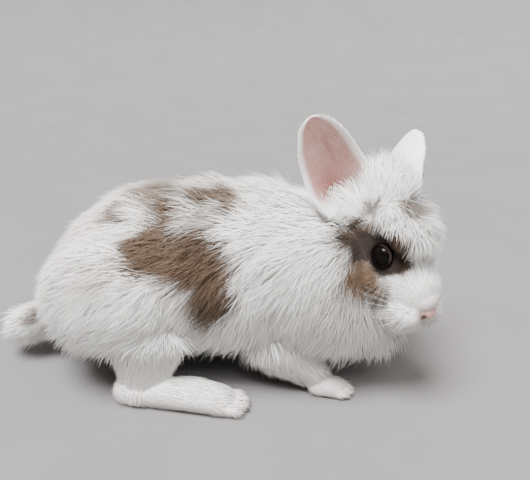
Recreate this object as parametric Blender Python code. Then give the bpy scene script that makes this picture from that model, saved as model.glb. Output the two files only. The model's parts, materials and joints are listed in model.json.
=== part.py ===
"""A young long-coated rabbit, life size, standing low on all four feet with its head turned to its right.

Metres. +X is forward, +Y is the rabbit's left and +Z is up. The origin is on the floor, under the
middle of the model's bounding box. Sizes below are in millimetres and are scaled by MM where used.
"""

import math
import random
from functools import lru_cache, partial

import bmesh
import bpy
import numpy as np
from mathutils import Matrix, Vector

MM = 0.001
GAP = 0.3
LEFT, RIGHT = 1, -1
BOTH = (LEFT, RIGHT)
WORD = {LEFT: "left", RIGHT: "right"}

# Head: where the middle of the eye line is, how far the head turns to the right and tips down.
HEAD_AT = Vector((90.3, -23.5, 81.5))
HEAD_YAW = math.radians(-52)
HEAD_PITCH = math.radians(33)

EYE_RADIUS = 6.8
EYE_SIDE = 10.6
EYE_OPENING = 5.5
LID_THICKNESS = 1.3

NOSE_AT = Vector((33.4, 0, -10))
NOSE_HALVES = (3.2, 5.5, 3.4)

# Ears: roots in the head's frame, tips in the model's, and which way each cup opens. An ear is cut
# off EAR_SINK inside the head.
EAR_HALF_WIDTH = 16.6
EAR_WALL = 2.4
EAR_SINK = 1.6
EAR_ROOTS = {LEFT: Vector((-34, 11.5, 2.5)), RIGHT: Vector((-34, -15.5, 3))}
EAR_TIPS = {LEFT: Vector((103.8, 31, 137.5)), RIGHT: Vector((38.8, -23, 148))}
EAR_MOUTHS = {LEFT: Vector((0.86, 0.45, -0.25)), RIGHT: Vector((0.15, -0.98, 0.1))}

# Feet: lengths from heel to toe tip, and how far to each side they stand.
HIND_FOOT_LENGTH = 72
HIND_FOOT_HALF_WIDTH = 11
HIND_FOOT_HEIGHT = 15
HIND_HEEL_X = -57
HIND_STANCE = 49
FORE_PAW_LENGTH = 27
FORE_PAW_HALF_WIDTH = 8.5
FORE_PAW_HEIGHT = 11
FORE_PAW_X = 46
FORE_STANCE = 33

# Rows of the body outline, coat and all: along, top, bottom, half width, shift to the left.
TORSO_ROWS = [
    (-108, 66, 19, 42, 0),
    (-96, 79, 12, 47, 0),
    (-85, 88, 9, 50, 0),
    (-65, 99, 8, 53, 0),
    (-40, 107, 8, 54, 0),
    (-10, 110, 9, 52, 0),
    (20, 109, 10, 48, 0),
    (45, 108, 10, 45, 0),
]
NECK_ROWS = [
    (-18, 42, -38, 43, 0),
    (0, 49, -44, 45, 0),
    (20, 54, -46, 46, 0),
    (38, 52, -43, 42, 0),
    (54, 40, -35, 35, 0),
    (70, 19, -25, 26, 0),
    (84, 9, -18, 19, 0),
]
# Rows of the head in its own frame, from the back of the skull to the nose.
HEAD_ROWS = [
    (-32, 10, -12, 15, 0),
    (-20, 16, -21, 18, 0),
    (-8, 17.5, -26, 17.5, 0),
    (2, 16.5, -28, 16.4, 0),
    (12, 13.5, -28, 15, 0),
    (20, 9, -26.5, 13.5, 0),
    (27, 4.5, -24, 13, 0),
    (33, 0.5, -21, 12, 0),
]
# Wool and flesh of the head as eggs in its own frame: middle, and half sizes along, across and up.
FOREHEAD_WOOL = ((0, 0, 13.5), (18, 21.5, 14))
CHEEK_WOOL = ((0, 12.5, -15), (21, 12, 13))
CHIN_WOOL = ((23, 0, -26.5), (12.5, 11, 10))
EAR_BASE = ((-29, 14, 1), (15, 13, 16))
TEMPLE = ((-20, 12, -9), (18, 14, 15))
TAIL_ROWS = [(-22, 11, -11, 11, 0), (-8, 13, -12, 12.5, 0), (22, 9, -9, 9, 0)]

# The coat of each form: how deep its core lies under the outline, then the length, half width and
# spacing of its locks, and how far their tips rise over the outline.
COATS = {
    "torso": (7, 38, 8.2, 20, 1.0),
    "neck": (8, 38, 7.4, 16, 1.5),
    "haunch": (6, 34, 7.8, 19, 1.0),
    "tail": (4.5, 22, 7.5, 18, 0.5),
    "forehead": (5, 24, 6.0, 13, 1.0),
    "crown": (6, 19, 6.4, 12, 1.0),
    "cheek": (3.5, 24, 7.0, 15, 2.0),
}
# Each node's coat is scattered from its own seed, chosen so that its locks meet in clean edges.
SEEDS = {"head": 2, "neck": 1, "torso": 1, "tail": 12}

# One lock: its root is sunk into the core, and its shape runs from root to tip as shares of its half
# width and thickness. It turns aside by up to LOCK_BEND, as a slope, its middle stays LOCK_FLOOR over
# the floor, and it is left out where one stretch turns from the next by more than LOCK_TURN allows,
# as the cosine of the angle between them.
ROOT_SINK = 2.5
LOCK_WIDTHS = (0.75, 1.0, 0.72)
LOCK_THICKNESSES = (0.9, 1.0, 0.65)
LOCK_THICKNESS = 2.0
LOCK_BEND = 0.7
LOCK_FLOOR = 3
LOCK_TURN = 0.66
# How far the locks of the head stay from the middle of an eye, along their length and at their root.
EYE_CLEAR = 10.5
EYE_BARE = 15

COLOURS = {
    "white_coat": ((0.86, 0.84, 0.80, 1), 0.9),
    "eye": ((0.02, 0.012, 0.01, 1), 0.08),
    "ear_skin": ((0.80, 0.52, 0.48, 1), 0.7),
    "nose_skin": ((0.66, 0.42, 0.40, 1), 0.55),
}


def clear_scene():
    for obj in list(bpy.data.objects):
        bpy.data.objects.remove(obj, do_unlink=True)


def material(name):
    colour, roughness = COLOURS[name]
    made = bpy.data.materials.get(name) or bpy.data.materials.new(name)
    made.use_nodes = True
    shader = made.node_tree.nodes["Principled BSDF"]
    shader.inputs["Base Color"].default_value = colour
    shader.inputs["Roughness"].default_value = roughness
    shader.inputs["Metallic"].default_value = 0
    return made


def read_rows(rows, at):
    """Values of a smooth curve through rows of (place, value, value, ...), read at one place."""
    at = min(max(at, rows[0][0]), rows[-1][0])
    i = max(k for k in range(len(rows) - 1) if rows[k][0] <= at)
    before, start, end = rows[max(i - 1, 0)], rows[i], rows[i + 1]
    after = rows[min(i + 2, len(rows) - 1)]
    span = end[0] - start[0]
    t = (at - start[0]) / span
    values = []
    for k in range(1, len(start)):
        leave = (end[k] - before[k]) / (end[0] - before[0]) * span
        arrive = (after[k] - start[k]) / (after[0] - start[0]) * span
        values.append(
            start[k] * (1 + 2 * t) * (1 - t) ** 2
            + leave * t * (1 - t) ** 2
            + end[k] * t * t * (3 - 2 * t)
            + arrive * t * t * (t - 1)
        )
    return values


class Form:
    """A closed rounded body of sections across an axis, read from rows of sizes.

    A row is a place along the axis, the section's top, bottom and half width there, and how far it
    is shifted to the left. The ends are closed by elliptic caps, caps long at the back and front.
    share runs from 0 at the back end to 1 at the front, and angle round from the left over the top.
    """

    def __init__(self, rows, frame, caps, rings, sides, pear=0.0, floor=None):
        self.rows, self.frame, self.caps = rows, frame, caps
        self.rings, self.sides, self.pear, self.floor = rings, sides, pear, floor

    def cap(self, along, back, front, out):
        """How full a section is beside a full one, squared: less than 1 in the caps."""
        near_back = 1 - min((along - back) / max(self.caps[0] + out, 3), 1)
        near_front = 1 - min((front - along) / max(self.caps[1] + out, 3), 1)
        return (1 - near_back**2) * (1 - near_front**2)

    def point(self, share, angle, out=0.0):
        """A surface point, moved out of the body by out."""
        back, front = self.rows[0][0] - out, self.rows[-1][0] + out
        along = back + (front - back) * share
        top, bottom, half_width, side = read_rows(self.rows, along)
        rounding = math.sqrt(max(0.0, self.cap(along, back, front, out)))
        half_height = (top - bottom) / 2 + out
        half_width = (half_width + out) * (1 - self.pear * math.sin(angle))
        spot = self.frame @ Vector(
            (
                along,
                side + half_width * rounding * math.cos(angle),
                (top + bottom) / 2 + half_height * rounding * math.sin(angle),
            )
        )
        if self.floor is not None:
            spot.z = max(spot.z, self.floor - max(out, 0.0))
        return spot

    def holds(self, point, out=0.0):
        """Whether a point lies inside the surface, moved out by out."""
        along, across, up = self.frame.inverted() @ point
        back, front = self.rows[0][0] - out, self.rows[-1][0] + out
        if not back < along < front:
            return False
        top, bottom, half_width, side = read_rows(self.rows, along)
        wide = (across - side) / (half_width + out)
        high = (up - (top + bottom) / 2) / ((top - bottom) / 2 + out)
        return wide * wide + high * high < self.cap(along, back, front, out)

    def slopes(self, share, angle):
        """The surface's directions along and around, per unit of share and angle, and its normal."""
        step = 0.01
        along = (self.point(share + step, angle) - self.point(share - step, angle)) / (2 * step)
        around = (self.point(share, angle + step) - self.point(share, angle - step)) / (2 * step)
        return along, around, around.cross(along).normalized()

    def mesh(self, out=0.0):
        bm = bmesh.new()
        shares = [(1 - math.cos(math.pi * i / self.rings)) / 2 for i in range(self.rings + 1)]
        back = bm.verts.new(self.point(0, 0, out))
        front = bm.verts.new(self.point(1, 0, out))
        rings = [
            [
                bm.verts.new(self.point(share, 2 * math.pi * k / self.sides, out))
                for k in range(self.sides)
            ]
            for share in shares[1:-1]
        ]
        for k in range(self.sides):
            after = (k + 1) % self.sides
            bm.faces.new((back, rings[0][k], rings[0][after]))
            bm.faces.new((front, rings[-1][after], rings[-1][k]))
            for near, far in zip(rings, rings[1:]):
                bm.faces.new((near[k], far[k], far[after], near[after]))
        return finished(bm)


def finished(bm):
    """A mesh in metres from a bmesh in millimetres, with its faces pointing out."""
    bmesh.ops.recalc_face_normals(bm, faces=bm.faces)
    if bm.calc_volume(signed=True) < 0:
        bmesh.ops.reverse_faces(bm, faces=bm.faces)
    bmesh.ops.scale(bm, vec=(MM, MM, MM), verts=bm.verts)
    mesh = bpy.data.meshes.new("made")
    bm.to_mesh(mesh)
    bm.free()
    return mesh


def frame_at(origin, forward, up=Vector((0, 0, 1))):
    """A frame with +X along forward, +Y to its left and +Z as near to up as it can be."""
    ahead = Vector(forward).normalized()
    left = Vector(up).cross(ahead).normalized()
    top = ahead.cross(left)
    turn = Matrix((ahead, left, top)).transposed().to_4x4()
    return Matrix.Translation(origin) @ turn


def head_frame():
    turn = Matrix.Rotation(HEAD_YAW, 4, "Z") @ Matrix.Rotation(HEAD_PITCH, 4, "Y")
    return Matrix.Translation(HEAD_AT) @ turn


HEAD = head_frame()


def place(name, mesh, slot=None):
    obj = bpy.data.objects.new(name, mesh)
    bpy.context.scene.collection.objects.link(obj)
    if slot:
        mesh.materials.clear()
        mesh.materials.append(material(slot))
    return obj


def evaluated_mesh(obj):
    graph = bpy.context.evaluated_depsgraph_get()
    return bpy.data.meshes.new_from_object(obj.evaluated_get(graph))


def combine(first, others, operation):
    """The first mesh joined with, or cut by, the others. The others are used up."""
    if not others:
        return first
    base = place("base", first)
    group = bpy.data.collections.new("pieces")
    bpy.context.scene.collection.children.link(group)
    for mesh in others:
        group.objects.link(bpy.data.objects.new("piece", mesh))
    boolean = base.modifiers.new("combine", "BOOLEAN")
    boolean.operand_type = "COLLECTION"
    boolean.collection = group
    boolean.operation = operation
    boolean.solver = "MANIFOLD"
    made = evaluated_mesh(base)
    for obj in [base, *group.objects]:
        bpy.data.objects.remove(obj, do_unlink=True)
    bpy.data.collections.remove(group)
    return made


def union(meshes):
    return combine(meshes[0], meshes[1:], "UNION")


def cut(mesh, cutters):
    return combine(mesh, cutters, "DIFFERENCE")


def largest_piece(mesh):
    """Keeps the closed surface that holds the most, and drops the rest."""
    bm = bmesh.new()
    bm.from_mesh(mesh)
    left, best, best_volume = set(bm.faces), [], 0.0
    while left:
        island, edge = [], [left.pop()]
        while edge:
            face = edge.pop()
            island.append(face)
            near = {f for e in face.edges for f in e.link_faces} & left
            left -= near
            edge.extend(near)
        volume = island_volume(island)
        if volume > best_volume:
            best, best_volume = island, volume
    keep = set(best)
    bmesh.ops.delete(bm, geom=[f for f in bm.faces if f not in keep], context="FACES")
    bm.to_mesh(mesh)
    bm.free()
    return mesh


def island_volume(faces):
    total = 0.0
    for face in faces:
        first, *rest = [v.co for v in face.verts]
        total += sum(first.dot(a.cross(b)) for a, b in zip(rest, rest[1:])) / 6
    return total


def ball(centre, radius, stretch=(1, 1, 1), frame=None, segments=16, rings=10):
    """A ball, or an egg where stretch says so, in millimetres."""
    bm = bmesh.new()
    bmesh.ops.create_uvsphere(bm, u_segments=segments, v_segments=rings, radius=radius)
    shape = Matrix.Diagonal((*stretch, 1))
    at = Matrix.Translation(centre)
    bmesh.ops.transform(bm, matrix=(frame or Matrix.Identity(4)) @ at @ shape, verts=bm.verts)
    return finished(bm)


def egg(middle, halves, side=1, rings=7, sides=10):
    """An egg in the head's frame, mirrored across where side says so."""
    long, wide, high = halves
    rows = [(-long, high, -high, wide, 0), (long, high, -high, wide, 0)]
    at = Matrix.Translation((middle[0], side * middle[1], middle[2]))
    return Form(rows, HEAD @ at, (long, long), rings, sides)


def lock_path(form, share, angle, lie, length, depth, rise, bend):
    """Points of a lock from its sunk root to its tip, with the way over and the way across each.

    It follows the surface along the lie, turns aside by bend in all, and climbs from the core to
    rise above the outline. Past the form's ends it runs straight on, and it stays off the floor.
    """
    steps = len(LOCK_WIDTHS)
    spots = []
    on_surface = form.point(share, angle)
    loose = False
    for k in range(steps + 1):
        along, around, normal = form.slopes(share, angle)
        heading = (lie - normal * lie.dot(normal)).normalized()
        heading = (heading + normal.cross(heading) * bend * (k / steps - 0.5)).normalized()
        climb = (k / steps) ** 0.75
        height = -(depth + ROOT_SINK) + (depth + ROOT_SINK + rise) * climb
        middle = on_surface + normal * height
        middle.z = max(middle.z, LOCK_FLOOR)
        spots.append((middle, normal, normal.cross(heading)))
        move = heading * (length / steps)
        on_surface = on_surface + move
        share += move.dot(along) / along.length_squared
        angle += move.dot(around) / around.length_squared
        loose = loose or not 0.04 < share < 0.96
        share = min(max(share, 0.04), 0.96)
        if not loose:
            on_surface = form.point(share, angle)
    return spots


def turns_gently(spots):
    """Whether a lock bends little enough, from each spot of its path to the next, not to cross itself."""
    ways = [(after[0] - before[0]).normalized() for before, after in zip(spots, spots[1:])]
    bends = [a.dot(b) for a, b in zip(ways, ways[1:])]
    twists = [before[2].dot(after[2]) for before, after in zip(spots, spots[1:])]
    leans = [abs(way.dot(spot[2])) for way, spot in zip(ways, spots)]
    return min(bends + twists) > LOCK_TURN and max(leans) < 1 - LOCK_TURN


def lock_mesh(spots, half_width, thickness, out=0.0):
    """A flat tapered lock through the spots of its path: a ridge over a flat underside, pointed.

    Grown by out it also has upright sides, so that it keeps clear of the sharp edges.
    """
    bm = bmesh.new()
    rings = []
    for (middle, over, across), wide, thick in zip(spots, LOCK_WIDTHS, LOCK_THICKNESSES):
        half = across * (half_width * wide + out * 1.3)
        rib = over * (thickness * thick + out * 1.3)
        edge = over * out
        section = [half + edge, rib, edge - half]
        if out > 0:
            section += [-half - edge, half - edge]
        rings.append([bm.verts.new(middle + offset) for offset in section])
    sides = len(section)
    for vertex in rings[0]:
        vertex.co -= (spots[1][0] - spots[0][0]).normalized() * out
    ahead = (spots[-1][0] - spots[-2][0]).normalized()
    tip = bm.verts.new(spots[-1][0] + ahead * out * 3)
    bm.faces.new(rings[0])
    for k in range(sides):
        after = (k + 1) % sides
        bm.faces.new((rings[-1][k], rings[-1][after], tip))
        for near, far in zip(rings, rings[1:]):
            bm.faces.new((near[k], near[after], far[after]))
            bm.faces.new((near[k], far[after], far[k]))
    return finished(bm)


class Coat:
    """A core under a form's outline, with staggered rows of locks that follow its lie.

    lie gives the way the hair lies at a point, and bare says where no lock is rooted.
    """

    def __init__(self, form, kind, lie, bare, seed):
        self.form = form
        self.depth, length, half_width, spacing, rise = COATS[kind]
        self.locks = []
        rng = random.Random(seed)
        long = form.rows[-1][0] - form.rows[0][0]
        count = max(2, round(long / spacing))
        for i in range(count):
            share = (i + 0.5) / count
            top, bottom, wide, _ = read_rows(form.rows, form.rows[0][0] + long * share)
            around = math.pi * (wide + (top - bottom) / 2)
            columns = max(4, round(around / (half_width * 2.1)))
            for k in range(columns):
                angle = 2 * math.pi * (k + 0.5 * (i % 2) + rng.uniform(-0.15, 0.15)) / columns
                at = min(max(share + rng.uniform(-0.15, 0.15) / count, 0.05), 0.95)
                root = form.point(at, angle)
                size = rng.uniform(0.85, 1.15)
                stray = Vector([rng.uniform(-0.18, 0.18) for _ in range(3)])
                lift = rise * rng.uniform(0.4, 1.4)
                if bare(root):
                    continue
                heading = (Vector(lie(root)) + stray).normalized()
                bend = rng.uniform(-LOCK_BEND, LOCK_BEND)
                path = lock_path(form, at, angle, heading, length * size, self.depth, lift, bend)
                if turns_gently(path):
                    self.locks.append((path, half_width * size))

    def keep_clear(self, points, reach):
        """Leaves out the locks that come nearer to any of some points than reach."""
        self.locks = [
            (path, wide)
            for path, wide in self.locks
            if all((spot[0] - point).length > reach for spot in path for point in points)
        ]

    def pieces(self, out=0.0):
        made = [self.form.mesh(out - self.depth)]
        made += [lock_mesh(path, wide, LOCK_THICKNESS, out) for path, wide in self.locks]
        return made


def tube(points, radii, sides=8, flat=1.0, up=Vector((0, 0, 1))):
    """A closed tube with pointed ends through points, flat times as thick as it is wide."""
    bm = bmesh.new()
    rings = []
    for i in range(1, len(points) - 1):
        ahead = (points[i + 1] - points[i - 1]).normalized()
        across = up.cross(ahead).normalized()
        over = ahead.cross(across)
        ring = []
        for k in range(sides):
            angle = 2 * math.pi * k / sides
            offset = across * math.cos(angle) + over * math.sin(angle) * flat
            ring.append(bm.verts.new(points[i] + offset * radii[i]))
        rings.append(ring)
    start, end = bm.verts.new(points[0]), bm.verts.new(points[-1])
    for k in range(sides):
        after = (k + 1) % sides
        bm.faces.new((start, rings[0][after], rings[0][k]))
        bm.faces.new((end, rings[-1][k], rings[-1][after]))
        for near, far in zip(rings, rings[1:]):
            bm.faces.new((near[k], near[after], far[after], far[k]))
    return finished(bm)


def torso_form():
    return Form(TORSO_ROWS, Matrix.Identity(4), (58, 12), 15, 18, pear=0.06)


def neck_form():
    frame = frame_at(Vector((22, 0, 62)), Vector((60, -14, -20)))
    return Form(NECK_ROWS, frame, (6, 24), 12, 18, pear=0.04)


def head_form():
    return Form(HEAD_ROWS, HEAD, (18, 9), 13, 16, pear=0.08)


def crown_form():
    """The forelock: wool that stands up between the ears."""
    rows = [(-12, 14, -20, 15, 0), (4, 14, -20, 16, 0), (14, 12, -16, 14, 0), (22, 9, -11, 12, 0)]
    frame = frame_at(Vector((81, -15, 104)), Vector((-8, 3, 28)), Vector((-1, 0, 0)))
    return Form(rows, frame, (8, 10), 8, 12)


def tail_form():
    frame = frame_at(Vector((-108, -8, 23)), Vector((36, 10, 18)))
    return Form(TAIL_ROWS, frame, (13, 8), 8, 12, floor=1.2)


def haunch_form(side):
    """The thigh: a broad egg on the flank, tipped forward to the knee."""
    rows = [(-42, 26, -28, 20, 0), (-15, 34, -34, 25, 0), (15, 34, -34, 25, 0), (42, 24, -25, 19, 0)]
    frame = frame_at(Vector((-52, side * 34, 50)), Vector((1, 0, -0.2)))
    return Form(rows, frame, (30, 32), 10, 14)


def shank_form(side):
    """The short-haired lower leg, from the haunch down to the foot."""
    rows = [(-6, 13, -13, 10, 0), (12, 16, -16, 11.5, 0), (30, 19, -18, 14, 0), (44, 20, -18, 14, 0)]
    axis = Vector((0.05, -side * 0.12, 1))
    frame = frame_at(Vector((-40, side * HIND_STANCE, 4)), axis, Vector((1, 0, 0)))
    return Form(rows, frame, (8, 12), 8, 12, floor=0.0)


def hind_foot_form(side):
    height, half = HIND_FOOT_HEIGHT, HIND_FOOT_HALF_WIDTH
    rows = [
        (0, height * 0.9, -2, half * 0.75, 0),
        (20, height * 1.0, -3, half * 0.86, 0),
        (44, height * 1.05, -3, half * 1.0, 0),
        (60, height * 0.78, -3, half * 1.0, 0),
        (HIND_FOOT_LENGTH - 3, height * 0.5, -2, half * 0.8, 0),
    ]
    frame = Matrix.Translation((HIND_HEEL_X, side * HIND_STANCE, 0)) @ Matrix.Rotation(side * 0.06, 4, "Z")
    return Form(rows, frame, (8, 10), 10, 12, floor=0.0)


def foreleg_form(side):
    rows = [(-16, 15, -17, 13, 0), (4, 14, -16, 12, 0), (20, 10, -11, 9.5, 0), (34, 6, -7, 7.5, 0)]
    frame = frame_at(Vector((30, side * (FORE_STANCE - 3), 25)), Vector((0.82, side * 0.08, -0.56)))
    return Form(rows, frame, (10, 10), 8, 12, floor=0.0)


def fore_paw_form(side):
    height, half = FORE_PAW_HEIGHT, FORE_PAW_HALF_WIDTH
    rows = [
        (0, height, -2, half * 0.85, 0),
        (12, height * 0.95, -2.5, half, 0),
        (FORE_PAW_LENGTH - 2, height * 0.55, -2, half * 0.85, 0),
    ]
    frame = Matrix.Translation((FORE_PAW_X, side * FORE_STANCE, 0)) @ Matrix.Rotation(side * 0.1, 4, "Z")
    return Form(rows, frame, (6, 6), 8, 10, floor=0.0)


def toes(foot, length, half_width, out=0.0, count=4):
    """Toe balls side by side at the front of a foot, with a short claw in each."""
    made = []
    radius = half_width * 1.15 / count * 1.35
    for k in range(count):
        across = (k - (count - 1) / 2) * 2 * half_width * 0.8 / count
        reach = length - 3.6 - abs(k - (count - 1) / 2) ** 2 * 1.1
        base = foot.frame @ Vector((reach - 4, across, radius * 0.9))
        tip = foot.frame @ Vector((reach + radius * 1.5, across * 1.06, radius * 0.55))
        middle = base.lerp(tip, 0.5) + Vector((0, 0, radius * 0.3))
        behind = base - (tip - base) * 0.5
        shape = tube(
            [behind, base, middle, tip - (tip - middle) * 0.25, tip],
            [0, radius * 0.9 + out, radius + out, radius * 0.72 + out, 0],
            sides=6,
        )
        made.append(shape)
        claw = tip + (tip - middle).normalized() * 2.0
        made.append(tube([middle, tip - (tip - middle) * 0.3, claw], [0, 0.9 + out, 0], sides=4))
    return made


def ear_frame(side):
    """Ear frames in the world: +X from root to tip, +Z out of the cup's mouth."""
    root = HEAD @ EAR_ROOTS[side]
    return frame_at(root, EAR_TIPS[side] - root, EAR_MOUTHS[side])


def ear_length(side):
    return (EAR_TIPS[side] - HEAD @ EAR_ROOTS[side]).length


def ear_half_width(share):
    """Half the ear's width at a share of its length from root to tip."""
    low = [(0, 0.62), (0.15, 0.86), (0.33, 1), (0.54, 0.94)]
    high = [(0.7, 0.84), (0.81, 0.69), (0.9, 0.53), (1, 0.22)]
    return read_rows(low + high, share)[0] * EAR_HALF_WIDTH


def ear_curl(share):
    """Half the angle that the cup's section turns through: a tube at the root, open at the tip."""
    return math.radians(read_rows([(0, 125), (0.2, 85), (0.5, 52), (0.8, 38), (1, 20)], share)[0])


def ear_point(side, share, across, lift):
    """A point of the ear's wall. across runs from -1 to 1, and lift is out of the cup's mouth."""
    curl = ear_curl(share)
    radius = ear_half_width(share) / math.sin(min(curl, math.pi / 2))
    angle = curl * across
    reach = radius - lift
    bow = 2.5 * math.sin(math.pi * share)
    high = radius - reach * math.cos(angle) - bow
    return ear_frame(side) @ Vector((share * ear_length(side), reach * math.sin(angle), high))


def ear_mesh(side, grow=0.0, rings=10, sides=8):
    """The ear's cup: a wall that curls round its mouth, thinner at its rim."""
    bm = bmesh.new()
    layers = []
    for sign in (-1, 1):
        layer = []
        for i in range(rings + 1):
            share = i / rings
            row = []
            for k in range(sides + 1):
                across = 2 * k / sides - 1
                thin = 1 - 0.45 * abs(across) ** 3 - 0.25 * share
                wall = EAR_WALL / 2 * thin + grow
                row.append(bm.verts.new(ear_point(side, share, across * (1 + grow / 12), sign * wall)))
            layer.append(row)
        layers.append(layer)
    outer, inner = layers
    for layer in layers:
        for i in range(rings):
            for k in range(sides):
                corners = (layer[i][k], layer[i][k + 1], layer[i + 1][k + 1], layer[i + 1][k])
                bm.faces.new(corners[:3])
                bm.faces.new((corners[0], corners[2], corners[3]))
    for i in range(rings):
        for k in (0, sides):
            bm.faces.new((outer[i][k], outer[i + 1][k], inner[i + 1][k], inner[i][k]))
    for k in range(sides):
        for i in (0, rings):
            bm.faces.new((outer[i][k], outer[i][k + 1], inner[i][k + 1], inner[i][k]))
    return finished(bm)


def eye_centre(side):
    return HEAD @ Vector((0, side * EYE_SIDE, 0))


def eye_mesh(side, grow=0.0):
    return ball(eye_centre(side), EYE_RADIUS + grow, segments=16, rings=8)


def lid_ring(side, out=0.0):
    """The lids: a raised oval ring on the head round the part of the eye that shows."""
    aside = (HEAD.to_3x3() @ Vector((0.10, side, 0.16))).normalized()
    ahead = (HEAD.to_3x3() @ Vector((1, 0, -0.25))).normalized()
    ahead = (ahead - aside * ahead.dot(aside)).normalized()
    over = aside.cross(ahead) * side
    stand = math.sqrt(EYE_RADIUS**2 - EYE_OPENING**2)
    steps, sides = 14, 5
    bm = bmesh.new()
    rings = []
    for i in range(steps):
        turn = 2 * math.pi * i / steps
        spoke = ahead * math.cos(turn) * 1.08 + over * math.sin(turn) * 0.98
        thick = LID_THICKNESS * (1.15 if math.sin(turn) > 0 else 0.9) + out
        middle = eye_centre(side) + aside * (stand - 0.2) + spoke * (EYE_OPENING + 0.8)
        ring = []
        for k in range(sides):
            angle = 2 * math.pi * k / sides
            ring.append(bm.verts.new(middle + (spoke * math.cos(angle) + aside * math.sin(angle)) * thick))
        rings.append(ring)
    for i in range(steps):
        for k in range(sides):
            after = (k + 1) % sides
            near, far = rings[i], rings[(i + 1) % steps]
            bm.faces.new((near[k], near[after], far[after], far[k]))
    return finished(bm)


def nose_mesh(grow=0.0):
    return ball(NOSE_AT, 1, [half + grow for half in NOSE_HALVES], HEAD, 12, 6)


def muzzle_pieces(out=0.0):
    """Whisker pads, bridge of the nose, lower lip and chin wool, fused into the head."""
    pad = (1.05, 1.05, 0.95)
    pads = [ball(Vector((28, side * 6.5, -15.2)), 7.6 + out, pad, HEAD, 12, 6) for side in BOTH]
    lip = ball(Vector((28, 0, -22)), 5.6 + out, (1.1, 1.1, 0.85), HEAD, 10, 6)
    bridge = ball(Vector((24.5, 0, -6.5)), 7.6 + out, (1.1, 1.1, 0.95), HEAD, 12, 6)
    return [*pads, bridge, lip, egg(*CHIN_WOOL).mesh(out)]


def mouth_cutters():
    """The split of the upper lip, and the line of the mouth back along each cheek."""
    split = [
        Vector((41, 0, -12.5)),
        Vector((36.6, 0, -14.5)),
        Vector((35, 0, -17.5)),
        Vector((33, 0, -20.5)),
    ]
    made = [tube([HEAD @ p for p in split], [0, 0.7, 0.8, 0], sides=6)]
    for side in BOTH:
        line = [
            Vector((38, 0, -18.2)),
            Vector((34.8, side * 2.8, -20)),
            Vector((32, side * 6.8, -20.8)),
            Vector((28.4, side * 10.4, -20.4)),
            Vector((24, side * 13.5, -19)),
        ]
        made.append(tube([HEAD @ p for p in line], [0, 0.9, 0.9, 0.9, 0], sides=6))
    return made


def nostril_cutters():
    made = []
    for side in BOTH:
        slit = [
            Vector((39, side * 0.8, -10)),
            Vector((37.2, side * 1.6, -10.6)),
            Vector((35.6, side * 3, -11)),
            Vector((33, side * 4.6, -10.2)),
        ]
        made.append(tube([HEAD @ p for p in slit], [0, 0.9, 0.9, 0], sides=6, flat=0.7))
    return made


def flattened(meshes, low=0.0):
    """The meshes with all that lies under a level brought up to it."""
    for mesh in meshes:
        for vertex in mesh.vertices:
            vertex.co.z = max(vertex.co.z, low * MM)
    return meshes


@lru_cache(maxsize=None)
def torso_coat():
    others = [neck_form(), *[haunch_form(side) for side in BOTH]]

    def lie(p):
        down = min(max((95 - p.z) / 60, 0), 1)
        return (-1 + 0.45 * down, 0, -0.25 - 0.75 * down)

    def bare(p):
        return p.z < 24 or any(form.holds(p, 3) for form in others)

    return Coat(torso_form(), "torso", lie, bare, SEEDS["torso"])


@lru_cache(maxsize=None)
def neck_coat():
    others = [head_form(), *[foreleg_form(side) for side in BOTH]]

    def lie(p):
        front = min(max((p.x - 60) / 35, 0), 1)
        down = min(max((100 - p.z) / 45, 0), 1)
        return (-1 + 0.8 * down + 0.25 * front, 0.1 * p.y / 40, -0.2 - 0.9 * down)

    def bare(p):
        return p.x < 30 or p.z < 15 or any(form.holds(p, 3) for form in others)

    return Coat(neck_form(), "neck", lie, bare, SEEDS["neck"])


@lru_cache(maxsize=None)
def haunch_coat(side):
    def lie(p):
        return (-0.75, 0, -0.75)

    def bare(p):
        return torso_form().holds(p, -1) or side * p.y < 30

    return Coat(haunch_form(side), "haunch", lie, bare, SEEDS["torso"] + side)


@lru_cache(maxsize=None)
def tail_coat():
    back = tail_form().frame.to_3x3() @ Vector((-1, 0, 0))

    def bare(p):
        return torso_form().holds(p, -2)

    return Coat(tail_form(), "tail", lambda p: back, bare, SEEDS["tail"])


@lru_cache(maxsize=None)
def head_coats():
    """The wool of the forehead, the crown and both cheeks."""
    crown = HEAD @ Vector((-30, 0, 30))
    tuft_axis = crown_form().frame.to_3x3() @ Vector((1, 0, 0))
    ahead, over = HEAD.to_3x3() @ Vector((1, 0, 0)), HEAD.to_3x3() @ Vector((0, 0, 1))
    eyes = [eye_centre(side) for side in BOTH]

    def fall(p):
        return (p - crown).normalized() + ahead * 0.4

    def stand(p):
        return tuft_axis + (p - HEAD @ Vector((-20, 0, 10))) * 0.02

    def back(p):
        return -ahead * 0.8 - over * 0.7

    def near_eye(p):
        return min((p - eye).length for eye in eyes) < EYE_BARE

    def under(p):
        return (p - HEAD @ Vector((3, 0, 8))).dot(over) < 0 or near_eye(p)

    def low(p):
        return head_form().holds(p, -1)

    def inside(p):
        return near_eye(p) or head_form().holds(p, 1)

    forehead = Coat(egg(*FOREHEAD_WOOL), "forehead", fall, under, SEEDS["head"])
    tuft = Coat(crown_form(), "crown", stand, low, SEEDS["head"])
    cheeks = [Coat(egg(*CHEEK_WOOL, side), "cheek", back, inside, SEEDS["head"] + side) for side in BOTH]
    for coat in (forehead, *cheeks):
        coat.keep_clear(eyes, EYE_CLEAR)
    return [forehead, tuft, *cheeks]


def torso_pieces(out):
    coats = [torso_coat(), *[haunch_coat(side) for side in BOTH]]
    return [piece for coat in coats for piece in coat.pieces(out)]


def ear_base(side, out):
    return egg(*EAR_BASE, side).mesh(out)


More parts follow.
